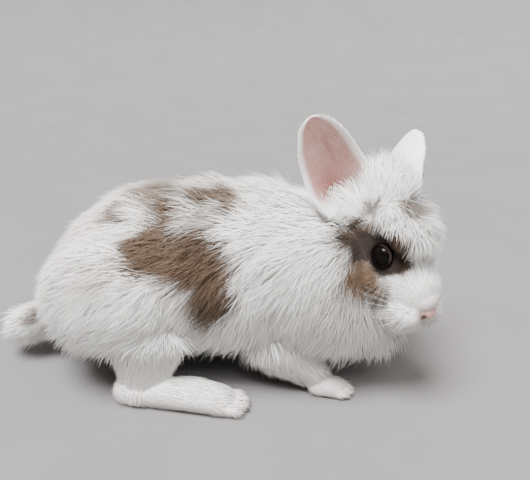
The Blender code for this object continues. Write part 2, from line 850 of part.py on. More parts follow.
def head_pieces(out):
    wool = [piece for coat in head_coats() for piece in coat.pieces(out)]
    filled = [egg(*TEMPLE, side).mesh(out) for side in BOTH]
    filled += [ear_base(side, out) for side in BOTH]
    return [head_form().mesh(out), *filled, *wool, *muzzle_pieces(out), *[lid_ring(side, out) for side in BOTH]]


def ear_pieces(side, out):
    """The ear, cut off a little way inside its base."""
    return [cut(ear_mesh(side, out), [ear_base(side, -EAR_SINK - out), head_form().mesh(-EAR_SINK - out)])]


def nose_pieces(out):
    return [nose_mesh(out)]


def hind_foot_pieces(side, out):
    foot = hind_foot_form(side)
    return flattened([foot.mesh(out), *toes(foot, HIND_FOOT_LENGTH, HIND_FOOT_HALF_WIDTH, out)])


def fore_paw_pieces(side, out):
    paw = fore_paw_form(side)
    return flattened([paw.mesh(out), *toes(paw, FORE_PAW_LENGTH, FORE_PAW_HALF_WIDTH, out)])


def sided(name, pieces, slot):
    """The rows of a node that is on both sides of the body."""
    return [(f"{name}_{WORD[side]}", partial(pieces, side), slot) for side in BOTH]


def node_plan():
    """Every node, with what it is made of. A node keeps clear of all those that come before it."""
    return [
        *sided("eye", lambda side, out: [eye_mesh(side, out)], "eye"),
        ("nose", nose_pieces, "nose_skin"),
        *sided("ear", ear_pieces, "ear_skin"),
        ("head", head_pieces, "white_coat"),
        *sided("hind_foot", hind_foot_pieces, "white_coat"),
        *sided("fore_paw", fore_paw_pieces, "white_coat"),
        *sided("shank", lambda side, out: [shank_form(side).mesh(out)], "white_coat"),
        *sided("foreleg", lambda side, out: [foreleg_form(side).mesh(out)], "white_coat"),
        ("neck", lambda out: neck_coat().pieces(out), "white_coat"),
        ("torso", torso_pieces, "white_coat"),
        ("tail", lambda out: tail_coat().pieces(out), "white_coat"),
    ]


def engraved(name):
    """What is cut into a node besides its neighbours."""
    return {"nose": nostril_cutters, "head": mouth_cutters}.get(name, list)()


def box_of(mesh):
    places = np.empty(len(mesh.vertices) * 3)
    mesh.vertices.foreach_get("co", places)
    places = places.reshape(-1, 3)
    return places.min(axis=0), places.max(axis=0)


def build():
    clear_scene()
    plan = node_plan()
    objects = []
    for i, (name, pieces, slot) in enumerate(plan):
        mesh = union(pieces(0.0))
        low, high = box_of(mesh)
        cutters = engraved(name)
        for _, other_pieces, _ in plan[:i]:
            for other in other_pieces(GAP):
                other_low, other_high = box_of(other)
                if (low <= other_high).all() and (other_low <= high).all():
                    cutters.append(other)
        objects.append(place(name, largest_piece(cut(mesh, cutters)), slot))
    centre_on_floor(objects)


def centre_on_floor(objects):
    """Moves every mesh so that the origin is under the middle of the bounding box, at its lowest level."""
    corners = [v.co for obj in objects for v in obj.data.vertices]
    low = Vector(min(c[i] for c in corners) for i in range(3))
    high = Vector(max(c[i] for c in corners) for i in range(3))
    shift = Vector((-(low.x + high.x) / 2, -(low.y + high.y) / 2, -low.z))
    for obj in objects:
        obj.data.transform(Matrix.Translation(shift))
        obj.data.shade_smooth()
        obj.data.set_sharp_from_angle(angle=math.radians(40))


build()
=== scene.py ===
"""Looks of the young long-coated rabbit: its skin, coat, ears, eyes, nose, claws, whiskers and the studio.

Sizes are in millimetres in the solids' working frame, where +X is forward, +Y is the rabbit's left and
the floor is at 0. put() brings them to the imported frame, in metres.
"""

import json
import math

import bpy
import numpy as np
from mathutils import Matrix, Vector
from mathutils.kdtree import KDTree

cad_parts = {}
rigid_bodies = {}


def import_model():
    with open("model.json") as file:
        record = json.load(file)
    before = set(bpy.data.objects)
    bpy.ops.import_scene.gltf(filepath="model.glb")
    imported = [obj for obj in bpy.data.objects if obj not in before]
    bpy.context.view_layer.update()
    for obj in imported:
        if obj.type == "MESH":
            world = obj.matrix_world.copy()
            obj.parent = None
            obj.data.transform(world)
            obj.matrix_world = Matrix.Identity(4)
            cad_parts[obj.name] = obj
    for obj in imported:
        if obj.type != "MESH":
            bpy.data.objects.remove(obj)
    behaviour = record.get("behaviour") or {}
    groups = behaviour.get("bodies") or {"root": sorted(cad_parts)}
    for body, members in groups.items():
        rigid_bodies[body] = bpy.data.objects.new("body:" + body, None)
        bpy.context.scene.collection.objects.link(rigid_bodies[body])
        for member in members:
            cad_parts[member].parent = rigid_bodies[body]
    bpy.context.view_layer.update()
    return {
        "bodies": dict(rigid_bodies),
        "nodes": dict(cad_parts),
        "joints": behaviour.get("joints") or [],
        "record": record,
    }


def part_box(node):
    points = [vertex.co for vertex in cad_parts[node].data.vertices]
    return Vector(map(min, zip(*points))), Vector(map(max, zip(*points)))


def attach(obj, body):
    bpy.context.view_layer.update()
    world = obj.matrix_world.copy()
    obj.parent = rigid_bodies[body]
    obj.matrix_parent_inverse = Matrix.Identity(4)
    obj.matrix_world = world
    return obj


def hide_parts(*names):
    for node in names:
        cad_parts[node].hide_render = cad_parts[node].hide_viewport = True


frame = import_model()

MM = 0.001
LEFT, RIGHT = 1, -1
BOTH = (LEFT, RIGHT)
WORD = {LEFT: "left", RIGHT: "right"}
UP = Vector((0, 0, 1))

# Head: the middle of the eye line, and how far the head turns to the right and tips down.
HEAD_AT = Vector((90.3, -23.5, 81.5))
HEAD_YAW = math.radians(-52)
HEAD_PITCH = math.radians(33)
HEAD = (
    Matrix.Translation(HEAD_AT)
    @ Matrix.Rotation(HEAD_YAW, 4, "Z")
    @ Matrix.Rotation(HEAD_PITCH, 4, "Y")
)
AHEAD, ASIDE, OVER = (HEAD.to_3x3() @ Vector(v) for v in ((1, 0, 0), (0, 1, 0), (0, 0, 1)))

EYE_RADIUS = 6.8
EYE_SIDE = 10.6
EYE_OPENING = 5.0
LID_THICKNESS = 0.75

NOSE_AT = Vector((33.4, 0, -10.0))
NOSE_RADIUS = 3.8

EAR_HALF_WIDTH = 16.6
EAR_WALL = 1.7
EAR_ROOTS = {LEFT: Vector((-34, 11.5, 2.5)), RIGHT: Vector((-34, -15.5, 3))}
EAR_TIPS = {LEFT: Vector((103.8, 31, 137.5)), RIGHT: Vector((38.8, -23.0, 148))}
EAR_MOUTHS = {LEFT: Vector((0.86, 0.45, -0.25)), RIGHT: Vector((0.15, -0.98, 0.1))}
# From the ear's root at 0 to its tip at 1: its half width as a share of the widest, and its curl in degrees.
EAR_WIDTHS = [
    (0, 0.62), (0.15, 0.86), (0.33, 1.0), (0.54, 0.94), (0.70, 0.84),
    (0.81, 0.69), (0.90, 0.53), (0.96, 0.38), (1, 0.12),
]
EAR_CURLS = [(0, 125), (0.2, 85), (0.5, 52), (0.8, 38), (1, 20)]

# Feet: their length and half width, and how far aside they stand.
HIND_FOOT_LENGTH, HIND_FOOT_HALF_WIDTH, HIND_STANCE = 72, 11, 49
FORE_PAW_LENGTH, FORE_PAW_HALF_WIDTH, FORE_STANCE = 27, 8.5, 33
TOES = 4
TOE_INSETS = {"hind": 1.3, "fore": 1.1}

SKIN_VOXEL = 1.1
TRIANGLES_A_PIECE = 190_000
# How wide a tuft's place in the map is, and how many times fewer tufts a quick build grows.
PATCH = 0.003
SPARSE = 1

# Camera: where the photo was taken from, its tilt, roll and focal length in pixels of a 530 wide image.
CAMERA_AT = Vector((20, -285, 177))
CAMERA_DOWN = math.radians(19.6)
CAMERA_ROLL = math.radians(3)
FOCAL_PIXELS, IMAGE_WIDTH, SENSOR = 531, 530, 36


def on_head(x, y, z):
    """A place given in the head's frame."""
    return np.array(HEAD @ Vector((x, y, z)))


def eye_centre(side):
    return HEAD @ Vector((0, side * EYE_SIDE, 0))


def eye_way(side):
    """The way an eye looks: out to its side, a little ahead and up."""
    return (HEAD.to_3x3() @ Vector((0.12, side, 0.24))).normalized()


def middle_of(box):
    return (Vector(box[0]) + Vector(box[1])) / 2


SHIFT = middle_of(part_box("eye_right")) - eye_centre(RIGHT) * MM


def put(points):
    """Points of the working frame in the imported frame."""
    return np.asarray(points, float) * MM + np.array(SHIFT)


def taken(points):
    """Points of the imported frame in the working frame."""
    return (points - np.array(SHIFT)) / MM


def ramp(values, start, end):
    """From 0 where values are at start to 1 where they are at end."""
    return np.clip((values - start) / (end - start), 0, 1)


def unit(vectors):
    return vectors / np.maximum(np.linalg.norm(vectors, axis=-1, keepdims=True), 1e-9)


def waves(points, scale, seed, count=9):
    """Smooth vector noise between about -1 and 1 that repeats nowhere near, as a sum of sine waves."""
    rng = np.random.default_rng(seed)
    total = np.zeros((len(points), 3))
    for _ in range(count):
        way = rng.normal(size=3)
        phase = rng.uniform(0, 2 * math.pi, 3)
        total += np.sin((points @ way)[:, None] * (2.2 / scale) + phase) * rng.uniform(0.6, 1.4)
    return total / math.sqrt(count)


def read_rows(rows, at):
    """Values of a smooth curve through rows of (place, value, value, ...), read at many places."""
    table = np.array(rows, float)
    places = table[:, 0]
    at = np.clip(at, places[0], places[-1])
    i = np.clip(np.searchsorted(places, at, side="right") - 1, 0, len(table) - 2)
    before, start, end = table[np.maximum(i - 1, 0)], table[i], table[i + 1]
    after = table[np.minimum(i + 2, len(table) - 1)]
    span = (end[:, 0] - start[:, 0])[:, None]
    t = (at - start[:, 0])[:, None] / span
    leave = (end - before) / (end[:, :1] - before[:, :1]) * span
    arrive = (after - start) / (after[:, :1] - start[:, :1]) * span
    values = (
        start * (1 + 2 * t) * (1 - t) ** 2
        + leave * t * (1 - t) ** 2
        + end * t * t * (3 - 2 * t)
        + arrive * t * t * (t - 1)
    )
    return values[:, 1:].T


def frame_at(origin, forward, up=UP):
    """A frame with +X along forward, +Y to its left and +Z as near to up as it can be."""
    ahead = Vector(forward).normalized()
    left = Vector(up).cross(ahead).normalized()
    turn = Matrix((ahead, left, ahead.cross(left))).transposed().to_4x4()
    return Matrix.Translation(origin) @ turn


def moved(matrix, points):
    grid = np.array(matrix)
    return np.asarray(points) @ grid[:3, :3].T + grid[:3, 3]


class Form:
    """A closed rounded body of sections across an axis, as in the solids.

    A row is a place along the axis and the section's top, bottom and half width there. caps gives
    how long its rounded back and front ends are.
    """

    def __init__(self, rows, frame, caps, pear=0.0, floor=None):
        self.rows, self.frame, self.caps, self.pear, self.floor = rows, frame, caps, pear, floor

    def cap(self, along, back, front, out):
        """How full a section is: 1 along the body, and less at its rounded ends."""
        near_back = 1 - np.minimum((along - back) / max(self.caps[0] + out, 3), 1)
        near_front = 1 - np.minimum((front - along) / max(self.caps[1] + out, 3), 1)
        return np.maximum((1 - near_back**2) * (1 - near_front**2), 0)

    def mesh(self, out, rings=40, sides=48):
        """Points and faces of the surface, moved out of the body by out."""
        back, front = self.rows[0][0] - out, self.rows[-1][0] + out
        shares = (1 - np.cos(np.pi * np.arange(rings + 1) / rings)) / 2
        along = np.repeat(back + (front - back) * shares, sides)
        angle = np.tile(2 * np.pi * np.arange(sides) / sides, rings + 1)
        top, bottom, half_width = read_rows(self.rows, along)
        rounding = np.sqrt(self.cap(along, back, front, out))
        across = (half_width + out) * (1 - self.pear * np.sin(angle)) * rounding * np.cos(angle)
        high = (top + bottom) / 2 + ((top - bottom) / 2 + out) * rounding * np.sin(angle)
        points = moved(self.frame, np.stack([along, across, high], axis=1))
        if self.floor is not None:
            points[:, 2] = np.maximum(points[:, 2], self.floor)
        return points, grid_faces(rings, sides)

    def level(self, points):
        """How far out points are: under 0 inside the outline, 0 on it, and growing outside."""
        along, across, up = moved(self.frame.inverted(), points).T
        back, front = self.rows[0][0], self.rows[-1][0]
        top, bottom, half_width = read_rows(self.rows, along)
        wide = across / half_width
        high = (up - (top + bottom) / 2) / ((top - bottom) / 2)
        past = np.maximum(np.maximum(back - along, along - front), 0) / half_width
        return wide**2 + high**2 - self.cap(along, back, front, 0) + past


def grid_faces(rings, sides):
    """Quads of a grid that closes round its sides, with both ends capped."""
    ring, side = np.meshgrid(np.arange(rings), np.arange(sides), indexing="ij")
    near, after = ring * sides + side, ring * sides + (side + 1) % sides
    quads = np.stack([near, near + sides, after + sides, after], axis=-1).reshape(-1, 4).tolist()
    return quads + [list(range(sides)), list(range(rings * sides, (rings + 1) * sides))[::-1]]


def egg(middle, halves, side=1):
    """An egg in the head's frame, mirrored across where side says so."""
    long, wide, high = halves
    rows = [(-long, high, -high, wide), (long, high, -high, wide)]
    at = Matrix.Translation((middle[0], side * middle[1], middle[2]))
    return Form(rows, HEAD @ at, (long, long))


def eggs(middle, halves):
    """An egg on each side of the head."""
    return {side: egg(middle, halves, side) for side in BOTH}


def pair(rows, frame_of, caps, **more):
    """A form on each side of the body, in the frame that frame_of gives for the side."""
    return {side: Form(rows, frame_of(side), caps, **more) for side in BOTH}


def foot_frame(x, y, turn):
    return Matrix.Translation((x, y, 0)) @ Matrix.Rotation(turn, 4, "Z")


TORSO = Form(
    [
        (-108, 66, 19, 42), (-96, 79, 12, 47), (-85, 88, 9, 50), (-65, 99, 8, 53),
        (-40, 107, 8, 54), (-10, 110, 9, 52), (20, 109, 10, 48), (45, 108, 10, 45),
    ],
    Matrix.Identity(4),
    (58, 12),
    pear=0.06,
)
NECK = Form(
    [
        (-18, 42, -38, 43), (0, 49, -44, 45), (20, 54, -46, 46), (38, 52, -43, 42),
        (54, 40, -35, 35), (70, 19, -25, 26), (84, 9, -18, 19),
    ],
    frame_at((22, 0, 62), (60, -14, -20)),
    (6, 24),
    pear=0.04,
)
SKULL = Form(
    [
        (-32, 10, -12, 15), (-20, 16, -21, 18), (-8, 17.5, -26, 17.5), (2, 16.5, -28, 16.4),
        (12, 13.5, -28, 15), (20, 9, -26.5, 13.5), (27, 4.5, -24, 13), (33, 0.5, -21, 12),
    ],
    HEAD,
    (18, 9),
    pear=0.08,
)
FOREHEAD = egg((-1.5, -1, 13.5), (17, 20, 13.5))
BROW = egg((-13, 0, 14), (16, 18, 13.5))
CHIN = egg((23, 0, -26.5), (12.5, 11, 10))
CHEEKS = eggs((0, 12.5, -15), (21, 12, 13))
EAR_BASES = eggs((-29, 14, 1), (15, 13, 16))
TEMPLES = eggs((-20, 12, -9), (18, 14, 15))
NAPES = eggs((-37, 12, -7), (16, 17, 17))
JOWLS = eggs((13, 7.5, -19.5), (15, 10, 9))
CROWN = Form(
    [(-12, 14, -20, 15), (4, 14, -20, 16), (14, 12, -16, 14), (22, 9, -11, 12)],
    frame_at((81, -15, 104), (-8, 3, 28), (-1, 0, 0)),
    (8, 10),
)
TAIL = Form(
    [(-22, 11, -11, 11), (-8, 13, -12, 12.5), (22, 9, -9, 9)],
    frame_at((-108, -8, 23), (36, 10, 18)),
    (13, 8),
    floor=1.2,
)
HAUNCHES = pair(
    [(-42, 26, -28, 20), (-15, 34, -34, 25), (15, 34, -34, 25), (42, 24, -25, 19)],
    lambda side: frame_at((-52, side * 34, 50), (1, 0, -0.2)),
    (30, 32),
)
SHANKS = pair(
    [(-6, 13, -13, 10), (12, 17, -17, 11), (30, 22, -21, 12.5), (44, 24, -22, 13)],
    lambda side: frame_at((-40, side * HIND_STANCE, 4), (0.05, -side * 0.12, 1), (1, 0, 0)),
    (8, 12),
    floor=0.0,
)
HIND_FEET = pair(
    [(0, 13.5, -2, 8.25), (20, 15, -3, 9.46), (44, 15.75, -3, 11), (60, 11.7, -3, 11), (69, 7.5, -2, 8.8)],
    lambda side: foot_frame(-57, side * HIND_STANCE, side * 0.06),
    (8, 10),
    floor=0.0,
)
FORELEGS = pair(
    [(-16, 15, -17, 13), (4, 14, -16, 12), (20, 10, -11, 9.5), (34, 6, -7, 7.5)],
    lambda side: frame_at((30, side * (FORE_STANCE - 3), 25), (0.82, side * 0.08, -0.56)),
    (10, 10),
    floor=0.0,
)
FORE_PAWS = pair(
    [(0, 11, -2, 7.225), (12, 10.45, -2.5, 8.5), (25, 6.05, -2, 7.225)],
    lambda side: foot_frame(46, side * FORE_STANCE, side * 0.1),
    (6, 6),
    floor=0.0,
)


def feet(side):
    """Word, form, length and half width of each foot on a side."""
    return (
        ("hind", HIND_FEET[side], HIND_FOOT_LENGTH, HIND_FOOT_HALF_WIDTH),
        ("fore", FORE_PAWS[side], FORE_PAW_LENGTH, FORE_PAW_HALF_WIDTH),
    )


def lie_torso(points):
    """Back along the spine, and down over the flanks."""
    down = ramp(points[:, 2], 95, 35)
    return np.stack([-1 + 0.45 * down, 0 * down, -0.25 - 0.75 * down], axis=1)


def lie_neck(points):
    """Back over the nape, and down over the chest."""
    front = ramp(points[:, 0], 60, 95)
    down = ramp(points[:, 2], 100, 55)
    return np.stack([-1 + 0.8 * down + 0.25 * front, 0.0025 * points[:, 1], -0.2 - 0.9 * down], axis=1)


def lie_face(points):
    """Back from the nose, and down over the cheeks."""
    aside = np.abs((points - np.array(HEAD_AT)) @ np.array(ASIDE))
    return unit(points - on_head(42, 0, -8)) - 0.25 * np.array(OVER) * (aside > 8)[:, None]


def spread(middle, pull, way):
    """The lie away from a place in the head's frame, pulled a way."""
    return lambda points: unit(points - on_head(*middle)) + pull * np.array(way)


def steady(way):
    """The same lie all over."""
    return lambda points: np.tile(np.array(way, float), (len(points), 1))


class Region:
    """A stretch of coat: the form that its outline follows, how deep the skin lies, and its hair.

    length, rise and width are those of a tuft, rise being how far its tip stands off the skin, and
    crowd is how many tufts grow on a square centimetre.
    """

    def __init__(self, form, inset, length, rise, width, crowd, lie):
        self.form, self.inset = form, inset
        self.hair = np.array([length, rise, width, crowd])
        self.lie = lie if callable(lie) else steady(lie)


def middle_regions():
    """Regions of the body and the head's middle. The last value is a lie, or one way all over."""
    forward = spread((-30, 0, 34), 0.25, AHEAD)
    return (
        (TORSO, 7.0, 17, 6.0, 0.35, 150, lie_torso),
        (NECK, 8.0, 17, 7.0, 0.34, 155, lie_neck),
        (TAIL, 4.5, 8.5, 4.8, 0.36, 150, TAIL.frame.to_3x3() @ Vector((-1, 0, 0))),
        (SKULL, 1.2, 6.0, 2.5, 0.34, 225, lie_face),
        (FOREHEAD, 5.0, 11, 5.5, 0.34, 200, forward),
        (CROWN, 6.0, 15, 6.5, 0.35, 180, spread((-20, 0, -6), 0.5, (-0.27, 0.1, 0.95))),
        (BROW, 5.0, 11, 5.0, 0.34, 200, forward),
        (CHIN, 4.0, 11, 4.0, 0.36, 170, AHEAD * 0.05 - OVER),
    )


def side_regions(side):
    """Regions of one side, in the same order."""
    cheek_lie = (-0.50, -side * 0.25, -0.80)
    nape_lie = -AHEAD * 0.9 - OVER * 0.3
    toe_lie = (1, 0, -0.15)
    return (
        (HAUNCHES[side], 6.0, 16, 6.0, 0.35, 148, (-0.75, 0, -0.75)),
        (CHEEKS[side], 4.0, 11, 4.5, 0.36, 175, cheek_lie),
        (JOWLS[side], 2.5, 9, 3.2, 0.34, 190, cheek_lie),
        (EAR_BASES[side], 5.0, 12, 4.5, 0.38, 150, nape_lie),
        (NAPES[side], 5.0, 14, 5.0, 0.36, 150, nape_lie),
        (TEMPLES[side], 4.0, 10, 3.6, 0.36, 175, nape_lie),
        (SHANKS[side], 3.0, 11, 2.6, 0.36, 145, (-0.1, 0, -1)),
        (FORELEGS[side], 2.0, 11, 3.6, 0.36, 145, (0.45, 0, -0.9)),
        (HIND_FEET[side], 1.6, 6.0, 2.3, 0.36, 180, toe_lie),
        (FORE_PAWS[side], 1.4, 5.0, 2.0, 0.36, 180, toe_lie),
    )


REGIONS = [Region(*row) for rows in (middle_regions(), *map(side_regions, BOTH)) for row in rows]


def linked(name, data):
    """A new object in the scene."""
    obj = bpy.data.objects.new(name, data)
    bpy.context.scene.collection.objects.link(obj)
    return obj


def place(name, mesh, finish, body="root"):
    """A piece of the rabbit on its body, with its finish."""
    obj = linked(name, mesh)
    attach(obj, body)
    mesh.materials.append(finish)
    return obj


def mesh_of(name, points, faces):
    """A smooth mesh from points of the working frame."""
    mesh = bpy.data.meshes.new(name)
    mesh.from_pydata(put(points).tolist(), [], faces)
    mesh.update()
    mesh.shade_smooth()
    return mesh


def joined(parts):
    """Many (points, faces) as one."""
    points, faces, start = [], [], 0
    for some, theirs in parts:
        points.append(np.asarray(some))
        faces += [[i + start for i in face] for face in theirs]
        start += len(some)
    return np.concatenate(points), faces


def ball(centre, radius, stretch=(1, 1, 1), matrix=None, rings=16, sides=24):
    """An egg of rings and sides, stretched along the axes of a frame."""
    turn = np.pi * np.arange(rings + 1) / rings
    around = 2 * np.pi * np.arange(sides) / sides
    x = np.repeat(-np.cos(turn), sides)
    y = np.outer(np.sin(turn), np.cos(around)).ravel()
    z = np.outer(np.sin(turn), np.sin(around)).ravel()
    points = np.stack([x, y, z], axis=1) * radius * np.array(stretch) + np.array(centre)
    return moved(matrix or Matrix.Identity(4), points), grid_faces(rings, sides)


def tube(path, radii, sides=8):
    """A closed tube along a path, with a radius at each point."""
    path = np.array([tuple(p) for p in path], float)
    ahead = unit(np.gradient(path, axis=0))
    seed = np.array([0.31, 0.52, 0.8])
    across = unit(np.cross(ahead, seed))
    over = np.cross(ahead, across)
    angle = 2 * np.pi * np.arange(sides) / sides
    rings = (
        path[:, None]
        + (across[:, None] * np.cos(angle)[:, None] + over[:, None] * np.sin(angle)[:, None])
        * np.array(radii, float)[:, None, None]
    )
    return rings.reshape(-1, 3), grid_faces(len(path) - 1, sides)


def toes(length, half_width):
    """Radius, reach ahead and place aside of each toe of a foot."""
    radius = half_width * 1.15 / TOES * 1.35
    for k in range(TOES):
        aside = k - (TOES - 1) / 2
        yield radius, length - 3.6 - aside**2 * 1.1, aside * 2 * half_width * 0.8 / TOES


def toe_parts(foot, length, half_width, inset):
    """Toes side by side at the front of a foot."""
    made = []
    for radius, reach, across in toes(length, half_width):
        base = foot.frame @ Vector((reach - 4, across, radius * 0.9))
        tip = foot.frame @ Vector((reach + radius, across * 1.06, radius * 0.7))
        path = [base.lerp(tip, t) for t in (-0.8, -0.4, 0, 0.4, 0.75, 0.93, 1.0)]
        sizes = [0.3, 0.8, 0.95, 1.0, 0.85, 0.5, 0.1]
        points, faces = tube(path, [radius * s - inset for s in sizes], sides=16)
        points[:, 2] = np.maximum(points[:, 2], 0)
        made.append((points, faces))
    return made


def claw_paths(foot, length, half_width):
    """Where each claw of a foot runs, from inside its toe to its tip."""
    shares = ((0.4, 0.9), (0.95, 0.75), (1.4, 0.4))
    return [
        [foot.frame @ Vector((reach + radius * x, across * 1.06, radius * z)) for x, z in shares]
        for radius, reach, across in toes(length, half_width)
    ]


def muzzle_parts():
    """Whisker pads, the bridge of the nose and the lower lip."""
    pads = [ball((28.0, side * 6.8, -15.2), 7.6, (1.05, 1.08, 0.95), HEAD) for side in BOTH]
    bridge = ball((24.5, 0, -6.5), 7.8, (1.15, 1.15, 0.95), HEAD)
    return [*pads, bridge, ball((28.5, 0, -22.3), 5.6, (1.1, 1.1, 0.85), HEAD)]


def remeshed(name, parts, voxel):
    """One closed skin over overlapping parts, smoothed."""
    obj = linked(name, mesh_of(name, *joined(parts)))
    remesh = obj.modifiers.new("skin", "REMESH")
    remesh.mode = "VOXEL"
    remesh.voxel_size = voxel * MM
    smooth = obj.modifiers.new("smooth", "SMOOTH")
    smooth.factor = 0.5
    smooth.iterations = 4
    graph = bpy.context.evaluated_depsgraph_get()
    mesh = bpy.data.meshes.new_from_object(obj.evaluated_get(graph))
    bpy.data.objects.remove(obj)
    mesh.name = name
    mesh.shade_smooth()
    return mesh


def unwrapped(obj):
    """Lays the piece's own surface out in the map that coat pieces share."""
    obj.data.uv_layers.new(name="OFBake")
    bpy.ops.object.select_all(action="DESELECT")
    obj.select_set(True)
    bpy.context.view_layer.objects.active = obj
    bpy.ops.object.mode_set(mode="EDIT")
    bpy.ops.mesh.select_all(action="SELECT")
    bpy.ops.uv.smart_project(angle_limit=1.15, island_margin=0.002, scale_to_bounds=True)
    bpy.ops.object.mode_set(mode="OBJECT")
    obj.select_set(False)


def read(items, name, width, kind=float):
    """What a mesh's vertices, triangles or loops hold under a name, in rows of width numbers."""
    values = np.empty(len(items) * width, kind)
    items.foreach_get(name, values)
    return values.reshape(-1, width)


class Surface:
    """A mesh as arrays in the working frame: corners, normals and map places of its triangles."""

    def __init__(self, mesh):
        mesh.calc_loop_triangles()
        self.points = taken(read(mesh.vertices, "co", 3))
        self.normals = read(mesh.vertices, "normal", 3)
        self.corners = read(mesh.loop_triangles, "vertices", 3, int)
        loops = read(mesh.loop_triangles, "loops", 3, int)
        self.places = read(mesh.uv_layers["OFBake"].data, "uv", 2)[loops]

    def scatter(self, crowd, seed):
        """Roots spread over the surface, crowd to a square centimetre.

        Gives their places, normals and map places, their triangles' corners and their share of each.
        """
        rng = np.random.default_rng(seed)
        a, b, c = (self.points[self.corners[:, k]] for k in range(3))
        area = np.linalg.norm(np.cross(b - a, c - a), axis=1) / 2 / 100
        wanted = np.cumsum(area * crowd[self.corners].mean(axis=1) / SPARSE)
        count = int(wanted[-1])
        at = (np.arange(count) + rng.uniform(0, 1, count)) * (wanted[-1] / max(count, 1))
        triangle = np.minimum(np.searchsorted(wanted, at), len(wanted) - 1)
        u, v = rng.uniform(0, 1, (2, count))
        flip = u + v > 1
        u, v = np.where(flip, 1 - u, u), np.where(flip, 1 - v, v)
        share = np.stack([1 - u - v, u, v], axis=1)[:, :, None]
        corner = self.corners[triangle]
        points = (self.points[corner] * share).sum(axis=1)
        normals = unit((self.normals[corner] * share).sum(axis=1))
        return points, normals, (self.places[triangle] * share).sum(axis=1), corner, share[:, :, 0]


def coat_values(points):
    """Length, rise, width and crowd of the tufts at points, and their lie, blended between regions."""
    levels = np.stack([region.form.level(points) for region in REGIONS], axis=1)
    nearest = levels.min(axis=1, keepdims=True)
    weights = np.exp(-(levels - nearest) * 9)
    weights /= weights.sum(axis=1, keepdims=True)
    hair = weights @ np.array([region.hair for region in REGIONS])
    lie = sum(weights[:, k : k + 1] * unit(region.lie(points)) for k, region in enumerate(REGIONS))
    return hair, unit(lie)


def near_eye(points):
    """How far points are from the nearer eye's middle, and the way from it."""
    away = np.stack([points - np.array(eye_centre(side)) for side in BOTH])
    far = np.linalg.norm(away, axis=2)
    pick = far.argmin(axis=0)
    rows = np.arange(len(points))
    return far[pick, rows], unit(away[pick, rows])


def near_muzzle(points):
    """How far points are from the nose."""
    return np.linalg.norm(points - on_head(*NOSE_AT), axis=1)


def leg_share(points):
    """From 0 on the body to 1 where the legs leave it, low down and far out."""
    return ramp(np.abs(points[:, 1]), 26, 36) * ramp(points[:, 2], 42, 22)


def tuft_sizes(points):
    """Length, rise, width, crowd and lie of the tufts rooted at points, less by the eyes, nose and legs."""
    hair, lie = coat_values(points)
    eye, from_eye = near_eye(points)
    by_eye = ramp(eye, 25, 11)
    by_nose = ramp(near_muzzle(points), 24, 10)
    by_mouth = np.clip(from_lines(points, mouth_lines()) / 4, 0.4, 1)
    by_leg = leg_share(points)
    length = hair[:, 0] * (1 - 0.75 * by_eye) * (1 - 0.35 * by_nose) * by_mouth * (1 - 0.35 * by_leg)
    rise = hair[:, 1] * (1 - 0.85 * by_eye) * (1 - 0.25 * by_nose) * by_mouth * (1 - 0.6 * by_leg)
    width = hair[:, 2] * (1 - 0.25 * np.maximum(by_eye, by_nose))
    lie = unit(lie + 0.9 * ramp(eye, 17, 9)[:, None] * from_eye)
    return length, rise, width, hair[:, 3], lie


def along_skin(ways, normals):
    """Ways without their part across the skin."""
    return ways - normals * (ways * normals).sum(axis=1, keepdims=True)


def seen_at(points, normals):
    """Where the middles of the tufts rooted at points lie, which is where their colour is read."""
    length, rise, _, _, lie = tuft_sizes(points)
    return points + unit(along_skin(lie, normals)) * 0.6 * length[:, None] + normals * 0.8 * rise[:, None]


def mouth_lines():
    """The split of the upper lip and the line of the mouth, as chains of points."""
    lines = [[(38, 0, -12.5), (37, 0, -15), (35.5, 0, -18), (34, 0, -20.0)]]
    for side in BOTH:
        corner = (28.5, side * 10.0, -20.8)
        lines.append([(35, 0, -19), (34, side * 3.6, -20.6), (31, side * 7.6, -21.2), corner])
    return [[on_head(*spot) for spot in line] for line in lines]


def from_lines(points, lines):
    """How far points are from the nearest of some chains of points."""
    best = np.full(len(points), np.inf)
    for line in lines:
        for start, end in zip(line, line[1:]):
            along = end - start
            t = np.clip((points - start) @ along / (along @ along), 0, 1)
            best = np.minimum(best, np.linalg.norm(points - start - t[:, None] * along, axis=1))
    return best


# How many tufts lean together in a wisp.
CLUMP_CROWD = 45


def clumped(roots, normals, rng):
    """The way from each root to the middle of the wisp it belongs to, and three numbers of that wisp."""
    middles = roots[rng.permutation(len(roots))[: max(len(roots) // CLUMP_CROWD, 1)]]
    tree = KDTree(len(middles))
    for k, middle in enumerate(middles):
        tree.insert(middle, k)
    tree.balance()
    pick = np.array([tree.find(root)[1] for root in roots])
    return along_skin(middles[pick] - roots, normals), rng.normal(0, 1, (len(middles), 3))[pick]


# Tufts: their width at each ring, their thickness as a share of it, how far they stray, gather and sag,
# and the lowest places of a ring's middle and of its corners.
TAPER = (0.75, 1.0, 0.72)
THICKNESS = 0.55
STRAY, GATHER, SAG = 0.17, 0.18, 0.05
OFF_FLOOR, LOWEST = 0.25, 0.2


